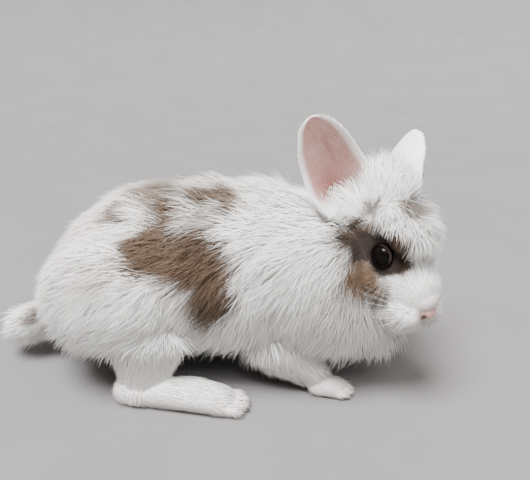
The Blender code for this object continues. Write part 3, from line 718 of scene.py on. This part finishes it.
def grown(roots, normals, lie, length, rise, width, places, seed, rings=3, wave=0.11, wisp=1.0):
    """Tufts at roots: length along the lie, tips raised off the skin, gathered in wisps.

    Each is a closed three-sided blade of few rings that tapers and bends to its tip. Gives the triangles
    of one, and the points, normals, map places and places of colour of all.
    """
    rng = np.random.default_rng(seed)
    count = len(roots)
    pull, kind = (part * wisp for part in clumped(roots, normals, rng))
    size = rng.uniform(0.6, 1.2, (count, 1)) * (1 + 0.08 * kind[:, :1])
    lift = rng.uniform(0.5, 1.3, (count, 1)) * (1 + 0.22 * kind[:, 1:2])
    length, rise = length[:, None] * size, rise[:, None] * lift
    stray = rng.normal(0, STRAY, (count, 3)) + wave * waves(roots, 9, 5) + wave * waves(roots, 24, 6)
    heading = unit(along_skin(lie + stray + 0.06 * kind, normals))
    across = np.cross(normals, heading)
    curl = waves(roots, 11, 7)[:, :1] * 0.16 + rng.normal(0, 0.06, (count, 1))
    width = width[:, None] * rng.uniform(0.7, 1.3, (count, 1)) * math.sqrt(SPARSE) / 2
    rows, facing = [], []
    for k in range(rings + 1):
        t = k / rings
        middle = (
            roots
            + heading * length * t
            + normals * (rise * (1 - (1 - t) ** 1.8) - 0.5 * (1 - t))
            + across * length * curl * t * t
            + pull * GATHER * t**1.5
            - np.array(UP) * SAG * length * t * t
        )
        middle[:, 2] = np.maximum(middle[:, 2], OFF_FLOOR)
        if k == rings:
            rows.append(middle[:, None])
            facing.append(normals[:, None])
            break
        half = width * TAPER[k]
        side, top = across * half, normals * half * THICKNESS
        rows.append(np.stack([middle + side, middle + top, middle - side], axis=1))
        facing.append(np.stack([normals + 0.4 * across, normals, normals - 0.4 * across], axis=1))
    made = np.concatenate(rows, axis=1)
    made[:, :, 2] = np.maximum(made[:, :, 2], LOWEST)
    facing = unit(np.concatenate(facing, axis=1) + 0.25 * unit(heading)[:, None])
    corners = made.shape[1]
    offset = np.stack([np.linspace(-0.5, 0.5, corners), np.tile([-0.5, 0, 0.5], 5)[:corners]], axis=1)
    shown = np.repeat(seen_at(roots, normals)[:, None], corners, axis=1)
    return tuft_faces(rings), made, facing, places[:, None] + offset * PATCH, shown


def tuft_faces(rings):
    """Triangles of one tuft."""
    faces = [[0, 2, 1]]
    for k in range(rings - 1):
        for side in range(3):
            near, after = 3 * k + side, 3 * k + (side + 1) % 3
            faces += [[near, after, after + 3], [near, after + 3, near + 3]]
    last, tip = 3 * (rings - 1), 3 * rings
    faces += [[last + side, last + (side + 1) % 3, tip] for side in range(3)]
    return np.array(faces)


def place_tufts(name, finish, batches):
    """Joins tufts as pieces under the limit of triangles."""
    made = 0
    for pattern, *arrays in batches:
        most = TRIANGLES_A_PIECE // len(pattern)
        for start in range(0, len(arrays[0]), most):
            made += 1
            some = (each[start : start + most] for each in arrays)
            place(f"{name}_{made}", tuft_mesh(f"{name}_{made}", pattern, *some), finish)


def tuft_mesh(name, pattern, points, normals, places, shown):
    """One joined mesh of tufts, with its map and what its hairs' colours are read from."""
    count, size = points.shape[:2]
    faces = (pattern[None] + (np.arange(count) * size)[:, None, None]).reshape(-1, 3)
    mesh = bpy.data.meshes.new(name)
    mesh.vertices.add(count * size)
    mesh.vertices.foreach_set("co", put(points.reshape(-1, 3)).ravel())
    mesh.loops.add(len(faces) * 3)
    mesh.polygons.add(len(faces))
    mesh.polygons.foreach_set("loop_start", np.arange(len(faces)) * 3)
    mesh.loops.foreach_set("vertex_index", faces.ravel())
    mesh.update(calc_edges=True)
    mesh.shade_smooth()
    mesh.normals_split_custom_set_from_vertices(normals.reshape(-1, 3))
    layer = mesh.uv_layers.new(name="OFBake")
    layer.data.foreach_set("uv", places.reshape(-1, 2)[faces.ravel()].ravel())
    store_markings_and_painted_light(mesh, shown.reshape(-1, 3))
    rng = np.random.default_rng(count)
    store(mesh, "stray", np.repeat(rng.uniform(0, 1, count), size))
    return mesh


def store(mesh, name, values):
    """Keeps a number at each point of a mesh."""
    mesh.attributes.new(name, "FLOAT", "POINT").data.foreach_set("value", np.asarray(values, np.float32))


# Patches of the body, the one under the tail being painted shade: middle, half sizes, how brown, how dark,
# and how soft the edge is.
PATCHES = {
    "side_left": ((-38, -47, 80), (17, 20, 11), 1.0, 0.40, 0.40),
    "side_middle": ((-19, -46, 79), (22, 21, 15), 1.0, 0.50, 0.40),
    "side_low": ((-7, -46, 61), (13, 18, 18), 1.0, 0.45, 0.45),
    "side_rise": ((-32, -39, 88), (11, 16, 11), 1.0, 0.45, 0.5),
    "top_spot": ((-33, -29, 97), (9, 11, 7), 1.0, 0.50, 0.5),
    "saddle": ((-40, -8, 104), (15, 18, 11), 0.9, 0.25, 0.6),
    "saddle_front": ((-14, -14, 105), (15, 11, 8), 1.0, 0.35, 0.5),
    "saddle_tip": ((0, -22, 104), (9, 11, 7), 0.95, 0.3, 0.6),
    "saddle_low": ((-14, -30, 97), (8, 9, 5), 0.8, 0.25, 0.6),
    "saddle_far": ((-30, 22, 100), (26, 20, 16), 0.9, 0.25, 0.5),
    "far_side": ((-20, 48, 74), (26, 18, 18), 1.0, 0.35, 0.4),
    "ridge": ((-35, 4, 108), (48, 20, 6), 0.32, 0.0, 0.9),
    "back_spot": ((-60, -25, 94), (8, 9, 7), 0.9, 0.3, 0.6),
    "rump_spot": ((-63, -60, 69), (9, 10, 8), 0.35, 0.0, 0.8),
    "tail_spot": ((-106, -17, 29), (8, 9, 7.5), 0.8, 0.35, 0.7),
    # Painted shade: a darker brown patch on the underside of the tail, close to the floor.
    "shade_under_tail": ((-98, -20, 20), (6, 8, 8), 0.65, 0.3, 0.8),
}


def waved(points):
    """Points pushed about, so that a patch that is read there has a ragged edge."""
    return points + 1.9 * waves(points, 13, 11) + 1.2 * waves(points, 5, 12)


def patched(points, patches, mottle=1.0):
    """How brown and how dark patches make the coat at points."""
    brown, dark = np.zeros(len(points)), np.zeros(len(points))
    for middle, halves, strength, depth, soft in patches.values():
        far = np.linalg.norm((points - np.array(middle)) / np.array(halves), axis=1)
        share = ramp(far, 1 + soft / 2, 1 - soft / 2)
        brown = np.maximum(brown, share * strength)
        dark = np.maximum(dark, share * depth * mottle)
    return brown, dark


# Patches of the face in the head's frame, the same on both sides, in the order of PATCHES.
MASK = {
    "eye": ((1, 15, 2), (12, 10, 11), 1.0, 1.0, 0.35),
    "over_eye": ((5, 15, 12), (8, 9, 7), 1.0, 0.7, 0.4),
    "before_eye": ((9, 12, 4), (6, 7, 8.5), 1.0, 0.7, 0.4),
    "behind_eye": ((-8, 20, -2), (11, 11, 8.5), 1.0, 1.0, 0.5),
    "temple": ((-14, 27, -3), (9, 13, 8.5), 1.0, 0.9, 0.6),
    "temple_high": ((-14, 25, 3), (8, 12, 7.5), 1.0, 0.7, 0.5),
    "temple_top": ((-15, 19, 8), (6.5, 9, 6.5), 0.9, 0.45, 0.6),
    "cheek": ((6, 24, -13), (13, 16, 8.5), 1.0, 0.08, 0.4),
    "cheek_back": ((-3, 29, -12), (8, 13, 6.5), 0.95, 0.08, 0.5),
    "forelock": ((-10, 2, 26), (7, 7, 6), 0.85, 0.3, 0.7),
}


def on_one_side(points):
    """Points in the head's frame, those of its right side mirrored, pushed about for a ragged edge."""
    at = moved(HEAD.inverted(), points)
    at[:, 1] = np.abs(at[:, 1])
    return at + (1.1 * waves(points, 8, 14) + 0.6 * waves(points, 3.5, 15))


def store_markings_and_painted_light(mesh, points):
    """Writes how brown, dark and pink the coat is at each point of a mesh, read at the given points, with
    painted light: pink room light on the top of the rump and shade under the tail.
    """
    mottle = 1 + 0.3 * waves(points, 8, 21)[:, 0]
    face = patched(on_one_side(points), MASK)
    body = patched(waved(points), PATCHES, mottle)
    # Painted light: a pink tint on the top of the rump, where the room's pink light is reflected.
    back = ramp(points[:, 2], 60, 95) * ramp(points[:, 0], -45, -85)
    muzzle = ramp(near_muzzle(points), 13, 6)
    feet_share = ramp(points[:, 2], 14, 2) * 0.3
    store(mesh, "brown", np.clip(np.maximum(face[0], body[0]), 0, 1))
    store(mesh, "dark", np.clip(np.maximum(face[1], body[1]), 0, 1))
    store(mesh, "pink", np.maximum.reduce([back * 0.5, muzzle, feet_share]))


def node(tree, kind, **settings):
    made = tree.nodes.new(kind)
    for name, value in settings.items():
        setattr(made, name, value)
    return made


def fill(made, **values):
    """Sets inputs of a node, whose names have _ for a space here."""
    for name, value in values.items():
        made.inputs[name.replace("_", " ")].default_value = value
    return made


def attribute(tree, name):
    return node(tree, "ShaderNodeAttribute", attribute_name=name).outputs["Fac"]


def mixed(tree, share, first, second):
    """A colour between two, each a colour or a socket."""
    mix = node(tree, "ShaderNodeMix", data_type="RGBA")
    tree.links.new(share, mix.inputs[0])
    for socket, value in ((mix.inputs[6], first), (mix.inputs[7], second)):
        if hasattr(value, "links"):
            tree.links.new(value, socket)
        else:
            socket.default_value = (*value, 1)
    return mix.outputs[2]


def ranged(tree, value, low, high, most=1.0):
    """From 0 where a socket's value is low to most where it is high."""
    turn = fill(node(tree, "ShaderNodeMapRange"), From_Min=low, From_Max=high, To_Max=most)
    tree.links.new(value, turn.inputs["Value"])
    return turn.outputs["Result"]


def drifting(tree, pattern, first, second, low=0.3, high=0.7):
    """A colour that drifts between two as a pattern does."""
    return mixed(tree, ranged(tree, pattern, low, high), first, second)


def noise(tree, scale, detail=4.0, roughness=0.6, stretch=(1, 1, 1)):
    """Noise over the object's own coordinates, in metres."""
    coordinates = node(tree, "ShaderNodeTexCoord")
    mapping = fill(node(tree, "ShaderNodeMapping"), Scale=stretch)
    made = fill(node(tree, "ShaderNodeTexNoise"), Scale=scale, Detail=detail, Roughness=roughness)
    tree.links.new(coordinates.outputs["Object"], mapping.inputs["Vector"])
    tree.links.new(mapping.outputs["Vector"], made.inputs["Vector"])
    return made.outputs["Fac"]


def bumped(tree, shader, height, distance):
    """Gives a shader small bumps, distance in millimetres."""
    bump = fill(node(tree, "ShaderNodeBump"), Distance=distance * MM)
    tree.links.new(height, bump.inputs["Height"])
    tree.links.new(bump.outputs["Normal"], shader.inputs["Normal"])


def painted(tree, shader, colour):
    tree.links.new(colour, shader.inputs["Base Color"])


def look(name, roughness, **constants):
    """A new material, with its tree and shader."""
    made = bpy.data.materials.new(name)
    made.use_nodes = True
    shader = fill(made.node_tree.nodes["Principled BSDF"], Roughness=roughness, **constants)
    return made, made.node_tree, shader


WHITE = (0.94, 0.925, 0.905)
CREAM = (0.86, 0.82, 0.76)
PINKISH = (0.80, 0.62, 0.57)
FAWN = (0.140, 0.085, 0.050)
PALE_FAWN = (0.22, 0.145, 0.092)
UMBER = (0.022, 0.012, 0.008)
LIP = (0.22, 0.09, 0.08)
EAR_PINK = (0.56, 0.33, 0.295)
EAR_ROSE = (0.47, 0.25, 0.22)
EAR_DOWN = (0.80, 0.68, 0.64)
# The next colour is painted shade deep in the ear's cup.
EAR_SHADE = (0.32, 0.115, 0.10)
NOSE_ROSE = (0.52, 0.29, 0.265)
NOSE_PINK = (0.62, 0.38, 0.34)
# The next colour is painted shade inside the nostrils.
NOSTRIL_SHADE = (0.05, 0.016, 0.014)
IRIS_DARK = (0.003, 0.002, 0.002)
IRIS_BROWN = (0.007, 0.004, 0.003)
PUPIL = (0.004, 0.003, 0.003)
LID_BROWN = (0.008, 0.005, 0.004)
LID_PALE = (0.5, 0.38, 0.33)
CLAW_PALE = (0.45, 0.36, 0.29)
CLAW_BROWN = (0.28, 0.2, 0.16)
WHISKER_PALE = (0.85, 0.83, 0.8)
WHISKER_GREY = (0.6, 0.56, 0.52)
FLOOR_DARK = (0.175, 0.170, 0.168)
FLOOR_PALE = (0.195, 0.190, 0.188)


def coat_colour(tree, loose):
    """The coat's colour from its markings and painted light: pink room light on the top of the rump, shade
    under the tail. loose is a share that drifts from tuft to tuft.
    """
    plain = mixed(tree, ranged(tree, loose, 0, 1, 0.3), WHITE, CREAM)
    # The pink share holds the muzzle's pink, the feet's pink and the painted pink room light on the top of
    # the rump.
    tinted = mixed(tree, ranged(tree, attribute(tree, "pink"), 0, 1, 0.65), plain, PINKISH)
    fawn = mixed(tree, ranged(tree, loose, 0, 1, 0.5), FAWN, PALE_FAWN)
    marked = mixed(tree, attribute(tree, "brown"), tinted, fawn)
    return mixed(tree, attribute(tree, "dark"), marked, UMBER)


def fur_look():
    made, tree, shader = look("fur", 0.75, Sheen_Weight=0.3, Sheen_Roughness=0.5, Specular_IOR_Level=0.25)
    painted(tree, shader, coat_colour(tree, attribute(tree, "stray")))
    bumped(tree, shader, noise(tree, 2400, 2), 0.1)
    return made


def skin_look():
    made, tree, shader = look("skin_under_fur", 0.8)
    colour = coat_colour(tree, noise(tree, 300))
    painted(tree, shader, mixed(tree, attribute(tree, "bare"), colour, LIP))
    bumped(tree, shader, noise(tree, 900, 6, 0.7), 0.5)
    return made


def ear_look():
    glow = {"Subsurface_Weight": 0.25, "Subsurface_Scale": 0.003, "Subsurface_Radius": (1.0, 0.35, 0.25)}
    made, tree, shader = look("ear_skin_and_down", 0.55, **glow)
    blush = drifting(tree, noise(tree, 130, 5), EAR_PINK, EAR_ROSE, 0.35, 0.65)
    downy = mixed(tree, ranged(tree, noise(tree, 900, 5, 0.7), 0.5, 0.75, 0.6), blush, EAR_DOWN)
    # The deep share is painted shade in the cup and along its fold.
    deep = mixed(tree, attribute(tree, "deep"), downy, EAR_SHADE)
    painted(tree, shader, mixed(tree, attribute(tree, "furred"), deep, WHITE))
    bumped(tree, shader, noise(tree, 700, 6, 0.7), 0.25)
    return made


def nose_look():
    made, tree, shader = look("nose_skin", 0.42, Coat_Weight=0.15, Coat_Roughness=0.3)
    skin = drifting(tree, noise(tree, 500, 5), NOSE_ROSE, NOSE_PINK, 0.35)
    # The deep share is painted shade in the nostrils and the groove.
    painted(tree, shader, mixed(tree, attribute(tree, "deep"), skin, NOSTRIL_SHADE))
    bumped(tree, shader, noise(tree, 2200, 3), 0.12)
    return made


def eye_look():
    made, tree, shader = look("eye", 0.05, IOR=1.34, Specular_IOR_Level=0.15)
    iris = drifting(tree, noise(tree, 900, 3), IRIS_DARK, IRIS_BROWN)
    painted(tree, shader, mixed(tree, attribute(tree, "pupil"), iris, PUPIL))
    return made


def lid_look():
    made, tree, shader = look("eyelid", 0.9, Specular_IOR_Level=0.05)
    colour = mixed(tree, noise(tree, 700), IRIS_DARK, LID_BROWN)
    painted(tree, shader, mixed(tree, attribute(tree, "pale"), colour, LID_PALE))
    bumped(tree, shader, noise(tree, 1500), 0.15)
    return made


def claw_look():
    made, tree, shader = look("claw", 0.35)
    painted(tree, shader, drifting(tree, noise(tree, 500, 2, 0.5, (1, 1, 6)), CLAW_PALE, CLAW_BROWN))
    bumped(tree, shader, noise(tree, 1500, 2, 0.5, (1, 1, 5)), 0.08)
    return made


def whisker_look():
    made, tree, shader = look("whisker", 0.3)
    painted(tree, shader, mixed(tree, noise(tree, 60), WHISKER_PALE, WHISKER_GREY))
    return made


def floor_look():
    made, tree, shader = look("studio_floor", 0.85)
    painted(tree, shader, drifting(tree, noise(tree, 9, 8), FLOOR_DARK, FLOOR_PALE))
    bumped(tree, shader, noise(tree, 600, 6, 0.7), 0.4)
    return made


def skin_parts():
    """Every region's form, inset to the skin, with toes and muzzle."""
    parts = [region.form.mesh(-region.inset) for region in REGIONS]
    for side in BOTH:
        for word, *foot in feet(side):
            parts += toe_parts(*foot, TOE_INSETS[word])
    return parts + muzzle_parts()


def carve_skin(mesh):
    """Sinks the eye sockets and the lines of the mouth into the skin, and marks what is bare there."""
    points, normals = taken(read(mesh.vertices, "co", 3)), read(mesh.vertices, "normal", 3)
    line = from_lines(points, mouth_lines())
    points -= normals * (1.3 * np.exp(-((line / 1.1) ** 2)))[:, None]
    for side in BOTH:
        aside = np.array(eye_way(side))
        away = points - np.array(eye_centre(side))
        depth = away @ aside
        radial = np.linalg.norm(away - depth[:, None] * aside, axis=1)
        sunk = ramp(radial, EYE_OPENING + 1.5, EYE_OPENING - 1.0) * (depth > 0)
        points -= aside * (sunk * np.maximum(depth - 1.0, 0))[:, None]
    mesh.vertices.foreach_set("co", put(points).ravel())
    mesh.update()
    store_markings_and_painted_light(mesh, seen_at(points, normals))
    store(mesh, "bare", np.exp(-((line / 0.9) ** 2)))


def build_skin():
    """The skin, which replaces the flesh of the solids."""
    mesh = remeshed("skin", skin_parts(), SKIN_VOXEL)
    carve_skin(mesh)
    skin = place("skin", mesh, skin_look())
    unwrapped(skin)
    flesh = ["head", "neck", "torso", "tail"]
    for part in ("shank", "foreleg", "hind_foot", "fore_paw"):
        flesh += [f"{part}_{WORD[side]}" for side in BOTH]
    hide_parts(*flesh)
    return skin


# Tufts shorter than this have one ring less.
SHORT = 9.5


def coat_crowd(points, normals):
    """Tufts on a square centimetre of skin, fewer below, and none on the eyes, nose, mouth and soles."""
    eye, _ = near_eye(points)
    face = ramp(eye, 6.9, 7.5) * (1 + ramp(eye, 16, 12) * 0.6) * (from_lines(points, mouth_lines()) > 1.4)
    off_nose = near_muzzle(points) > NOSE_RADIUS + 0.4
    below = np.where(points[:, 2] < 0.6, 0.0, 1.0) * np.where(normals[:, 2] < -0.4, 0.6, 0.95)
    return tuft_sizes(points)[3] * face * off_nose * below


def build_coat(skin, fur):
    """The coat over the skin: long tufts on the body, short ones on the face, legs and feet."""
    surface = Surface(skin.data)
    crowd = coat_crowd(surface.points, surface.normals)
    roots, normals, places, _, _ = surface.scatter(crowd, 31)
    length, rise, width, _, lie = tuft_sizes(roots)
    tip_to_eye, _ = near_eye(roots + lie * length[:, None] + normals * rise[:, None])
    length *= np.clip((tip_to_eye - 8.0) / 5.5, 0.3, 1)
    batches = []
    for chosen, rings, seed in ((length >= SHORT, 3, 41), (length < SHORT, 2, 42)):
        some = (each[chosen] for each in (roots, normals, lie, length, rise, width, places))
        batches.append(grown(*some, seed, rings))
    place_tufts("coat", fur, batches)


def ear_frame(side):
    """Ear frames: +X from root to tip, +Z out of the cup's mouth."""
    root = HEAD @ EAR_ROOTS[side]
    return frame_at(root, EAR_TIPS[side] - root, EAR_MOUTHS[side])


def ear_points(side, share, across, lift):
    """Points of the ear's wall. across runs from -1 to 1, and lift is out of the cup's mouth."""
    half = read_rows(EAR_WIDTHS, share)[0] * EAR_HALF_WIDTH
    curl = np.radians(read_rows(EAR_CURLS, share)[0])
    radius = half / np.sin(np.minimum(curl, math.pi / 2))
    angle = curl * across
    reach = radius - lift
    bow = 2.5 * np.sin(math.pi * share)
    along = share * (EAR_TIPS[side] - HEAD @ EAR_ROOTS[side]).length
    points = np.stack([along, reach * np.sin(angle), radius - reach * np.cos(angle) - bow], axis=1)
    return moved(ear_frame(side), points)


def build_ear(side, finish):
    """The ear: a thin wall round its cup, pink inside and downy outside and along the rim."""
    rings, sides = 48, 28
    share = np.repeat(np.arange(rings + 1) / rings, 2 * sides + 2)
    lap = np.tile(np.append(np.linspace(-1, 1, sides + 1), np.linspace(1, -1, sides + 1)), rings + 1)
    inner = np.tile(np.append(np.ones(sides + 1), -np.ones(sides + 1)), rings + 1)
    wall = EAR_WALL / 2 * (1 - 0.75 * np.abs(lap) ** 5) * (1 - 0.3 * share)
    points = ear_points(side, share, lap, inner * wall)
    mesh = mesh_of(f"ear_{WORD[side]}_fine", points, grid_faces(rings, 2 * sides + 2))
    rim = np.abs(lap) + 0.35 * ramp(share, 0.9, 1)
    base = ramp(0.13 + 0.22 * np.abs(lap - 0.15) - share, 0, 0.1)
    store(mesh, "furred", np.where(inner > 0, np.maximum(ramp(rim, 0.70, 0.88), base), 1.0))
    # Painted shade: darker pink deep in the cup near the root, and along a fold line down its middle.
    deep = ramp(share, 0.62, 0.27) * np.clip(1.1 - 1.6 * np.abs(lap - 0.15), 0, 1)
    fold_shade = np.exp(-(((lap + 0.18) / 0.07) ** 2)) * ramp(share, 0.88, 0.68) * 0.55
    store(mesh, "deep", np.maximum(deep, fold_shade))
    ear = place(mesh.name, mesh, finish)
    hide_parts(f"ear_{WORD[side]}")
    unwrapped(ear)
    return ear, np.stack([share, lap, inner], axis=1)


def grow_ear_fur(ear, layout, side, fur):
    """Down on the back of the ear, a denser rim, and loose hairs across the mouth near its root."""
    surface = Surface(ear.data)
    share, lap, inner = layout.T
    crowd = np.where(inner > 0, 190 * ramp(np.abs(lap), 0.74, 0.9) + 70 * ramp(share, 0.34, 0.04), 160)
    roots, normals, places, corner, weight = surface.scatter(crowd * (share < 0.975), 50 + side)
    share, lap, inner = ((layout[corner] * weight[:, :, None]).sum(axis=1)).T
    along, outward = (np.array(ear_frame(side).to_3x3() @ Vector(way)) for way in ((1, 0, 0), (0, 1, 0)))
    lie = unit(np.tile(along, (len(roots), 1)) + outward * (0.25 * lap * (np.abs(lap) > 0.7))[:, None])
    low = ramp(share, 0.26, 0)
    sizes = (1.7 + 7.5 * low, 0.1 + 1.4 * low, np.full(len(roots), 0.42))
    down = grown(roots, normals, lie, *sizes, places, 60 + side, rings=2, wave=0.08, wisp=0.25)
    place_tufts(f"ear_{WORD[side]}_down", fur, [down])


def build_eye(side, finish):
    """The dark eyeball, with its cornea's bulge and a wide pupil."""
    points, faces = ball((0, 0, 0), EYE_RADIUS, rings=36, sides=48)
    outward = points[:, 0] / EYE_RADIUS
    points *= (1 + 0.035 * ramp(outward, 0.45, 0.95) ** 1.5)[:, None]
    turned = frame_at(eye_centre(side), eye_way(side))
    mesh = mesh_of(f"eyeball_{WORD[side]}", moved(turned, points), faces)
    store(mesh, "pupil", ramp(outward, 0.80, 0.86))
    eye = place(mesh.name, mesh, finish)
    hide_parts(f"eye_{WORD[side]}")


def build_lids(side, finish):
    """A dark rim of skin round the opening, paler inside the lower lid."""
    aside = eye_way(side)
    ahead = (HEAD.to_3x3() @ Vector((1, 0, -0.25))).normalized()
    ahead = (ahead - aside * ahead.dot(aside)).normalized()
    over = aside.cross(ahead) * side
    stand = math.sqrt(EYE_RADIUS**2 - EYE_OPENING**2) - 0.1
    steps, sides = 64, 14
    turn = np.repeat(2 * np.pi * np.arange(steps) / steps, sides)
    angle = np.tile(2 * np.pi * np.arange(sides) / sides, steps)
    spoke = np.outer(np.cos(turn) * 1.05, ahead) + np.outer(np.sin(turn), over)
    middle = np.array(eye_centre(side)) + stand * np.array(aside) + spoke * (EYE_OPENING + 0.25)
    points = middle + (spoke * np.cos(angle)[:, None] + np.outer(np.sin(angle), aside)) * LID_THICKNESS
    ring, at = np.meshgrid(np.arange(steps), np.arange(sides), indexing="ij")
    near, after = ring * sides + at, ring * sides + (at + 1) % sides
    far, far_after = (near + sides) % (steps * sides), (after + sides) % (steps * sides)
    faces = np.stack([near, after, far_after, far], axis=-1).reshape(-1, 4)
    mesh = mesh_of(f"eyelids_{WORD[side]}", points, (faces if side == LEFT else faces[:, ::-1]).tolist())
    lower = np.clip(-np.sin(turn) - 0.35, 0, 1)
    store(mesh, "pale", lower * np.clip(np.sin(angle) * 0.6 + 0.4, 0, 1) * 0.15)
    place(mesh.name, mesh, finish)


def build_nose(finish):
    """The nose pad with comma nostrils and the groove under it."""
    points, faces = ball((0, 0, 0), NOSE_RADIUS, (0.85, 1.5, 0.95), rings=48, sides=64)
    nostrils = [
        [np.array(p) for p in ((2.8, side * 0.9, -2.2), (2.6, side * 2.6, -1.5), (1.4, side * 4.6, 0.4))]
        for side in BOTH
    ]
    slit = np.exp(-((from_lines(points, nostrils) / 1.25) ** 2))
    groove = np.exp(-((points[:, 1] / 0.5) ** 2)) * (points[:, 2] < 0.2) * (points[:, 0] > 0)
    carved = points - unit(points) * (2.1 * slit + 0.7 * groove)[:, None]
    mesh = mesh_of("nose_pad", moved(HEAD @ Matrix.Translation(NOSE_AT), carved), faces)
    # Painted shade: the nostril slits and the groove under the nose are dark with the shade that falls in
    # these openings.
    store(mesh, "deep", np.clip(slit * 1.8 + 0.5 * groove, 0, 1))
    nose = place("nose_pad", mesh, finish)
    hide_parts("nose")


def build_claws(finish):
    for side in BOTH:
        for word, *foot in feet(side):
            parts = [tube(path, (0.85, 0.65, 0.08), 10) for path in claw_paths(*foot)]
            mesh = mesh_of(f"claws_{word}_{WORD[side]}", *joined(parts))
            place(mesh.name, mesh, finish)


def build_whiskers(finish):
    """Whiskers from the pads of the muzzle, swept back and out."""
    rng = np.random.default_rng(71)
    for side in BOTH:
        parts = []
        for row in range(3):
            for k in range(4):
                root = Vector((29 - 2.4 * k, side * (11.6 + 0.4 * k), -10.5 - 2.2 * row))
                way = Vector((0.15 - 0.25 * k, side, 0.25 - 0.28 * row)).normalized()
                length = rng.uniform(14, 23)
                sag = Vector((-0.35, 0, -0.18)) * length
                path = [HEAD @ (root + way * length * t + sag * t * t) for t in (0, 0.25, 0.5, 0.75, 1)]
                parts.append(tube(path, (0.055, 0.05, 0.045, 0.03, 0.012), 5))
        mesh = mesh_of(f"whiskers_{WORD[side]}", *joined(parts))
        place(mesh.name, mesh, finish)


def build_floor():
    """A pale floor that sweeps up far away on all sides. Its rows are reach and height, in metres."""
    sides = 96
    sweep = [(0.02, 0), (0.9, 0), (1.3, 0.02), (1.7, 0.10), (2.1, 0.28), (2.4, 0.58), (2.6, 1.0), (2.7, 2.2)]
    turn = 2 * np.pi * np.arange(sides) / sides
    points = [(reach * math.cos(t), reach * math.sin(t), high) for reach, high in sweep for t in turn]
    mesh = bpy.data.meshes.new("studio_floor")
    mesh.from_pydata(points, [], grid_faces(len(sweep) - 1, sides)[:-1])
    mesh.flip_normals()
    mesh.shade_smooth()
    mesh.materials.append(floor_look())
    floor = linked("studio_floor", mesh)


def build_lamp(name, kind, at, **settings):
    """A lamp that shines at the middle of the rabbit."""
    data = bpy.data.lights.new(name, kind)
    for setting, value in settings.items():
        setattr(data, setting, value)
    lamp = linked(name, data)
    lamp.location = at
    lamp.rotation_euler = (Vector((0, 0, 0.06)) - Vector(at)).to_track_quat("-Z", "Y").to_euler()


def build_lights():
    """A soft key from above, a small light in front, and a pale sky all round."""
    build_lamp("key", "SUN", (-0.30, -0.30, 1.1), energy=10.5, angle=0.5)
    build_lamp("front", "AREA", (0.22, -0.55, 0.75), energy=3.0, size=0.22)
    world = bpy.data.worlds.new("studio")
    world.use_nodes = True
    fill(world.node_tree.nodes["Background"], Color=(0.96, 0.92, 0.875, 1), Strength=1.02)
    bpy.context.scene.world = world


def build_camera():
    """A camera where the photo was taken from."""
    data = bpy.data.cameras.new("camera")
    data.sensor_width = SENSOR
    data.lens = FOCAL_PIXELS / IMAGE_WIDTH * SENSOR
    data.clip_start = 0.01
    camera = linked("camera", data)
    camera.location = put(CAMERA_AT)
    turn = Matrix.Rotation(math.radians(90) - CAMERA_DOWN, 4, "X") @ Matrix.Rotation(CAMERA_ROLL, 4, "Z")
    camera.rotation_euler = turn.to_euler()
    bpy.context.scene.camera = camera


def build():
    fur = fur_look()
    build_coat(build_skin(), fur)
    ear_skin, eye, lid = ear_look(), eye_look(), lid_look()
    for side in BOTH:
        ear, layout = build_ear(side, ear_skin)
        grow_ear_fur(ear, layout, side, fur)
        build_eye(side, eye)
        build_lids(side, lid)
    build_nose(nose_look())
    build_claws(claw_look())
    build_whiskers(whisker_look())
    build_floor()
    build_lights()
    build_camera()


build()
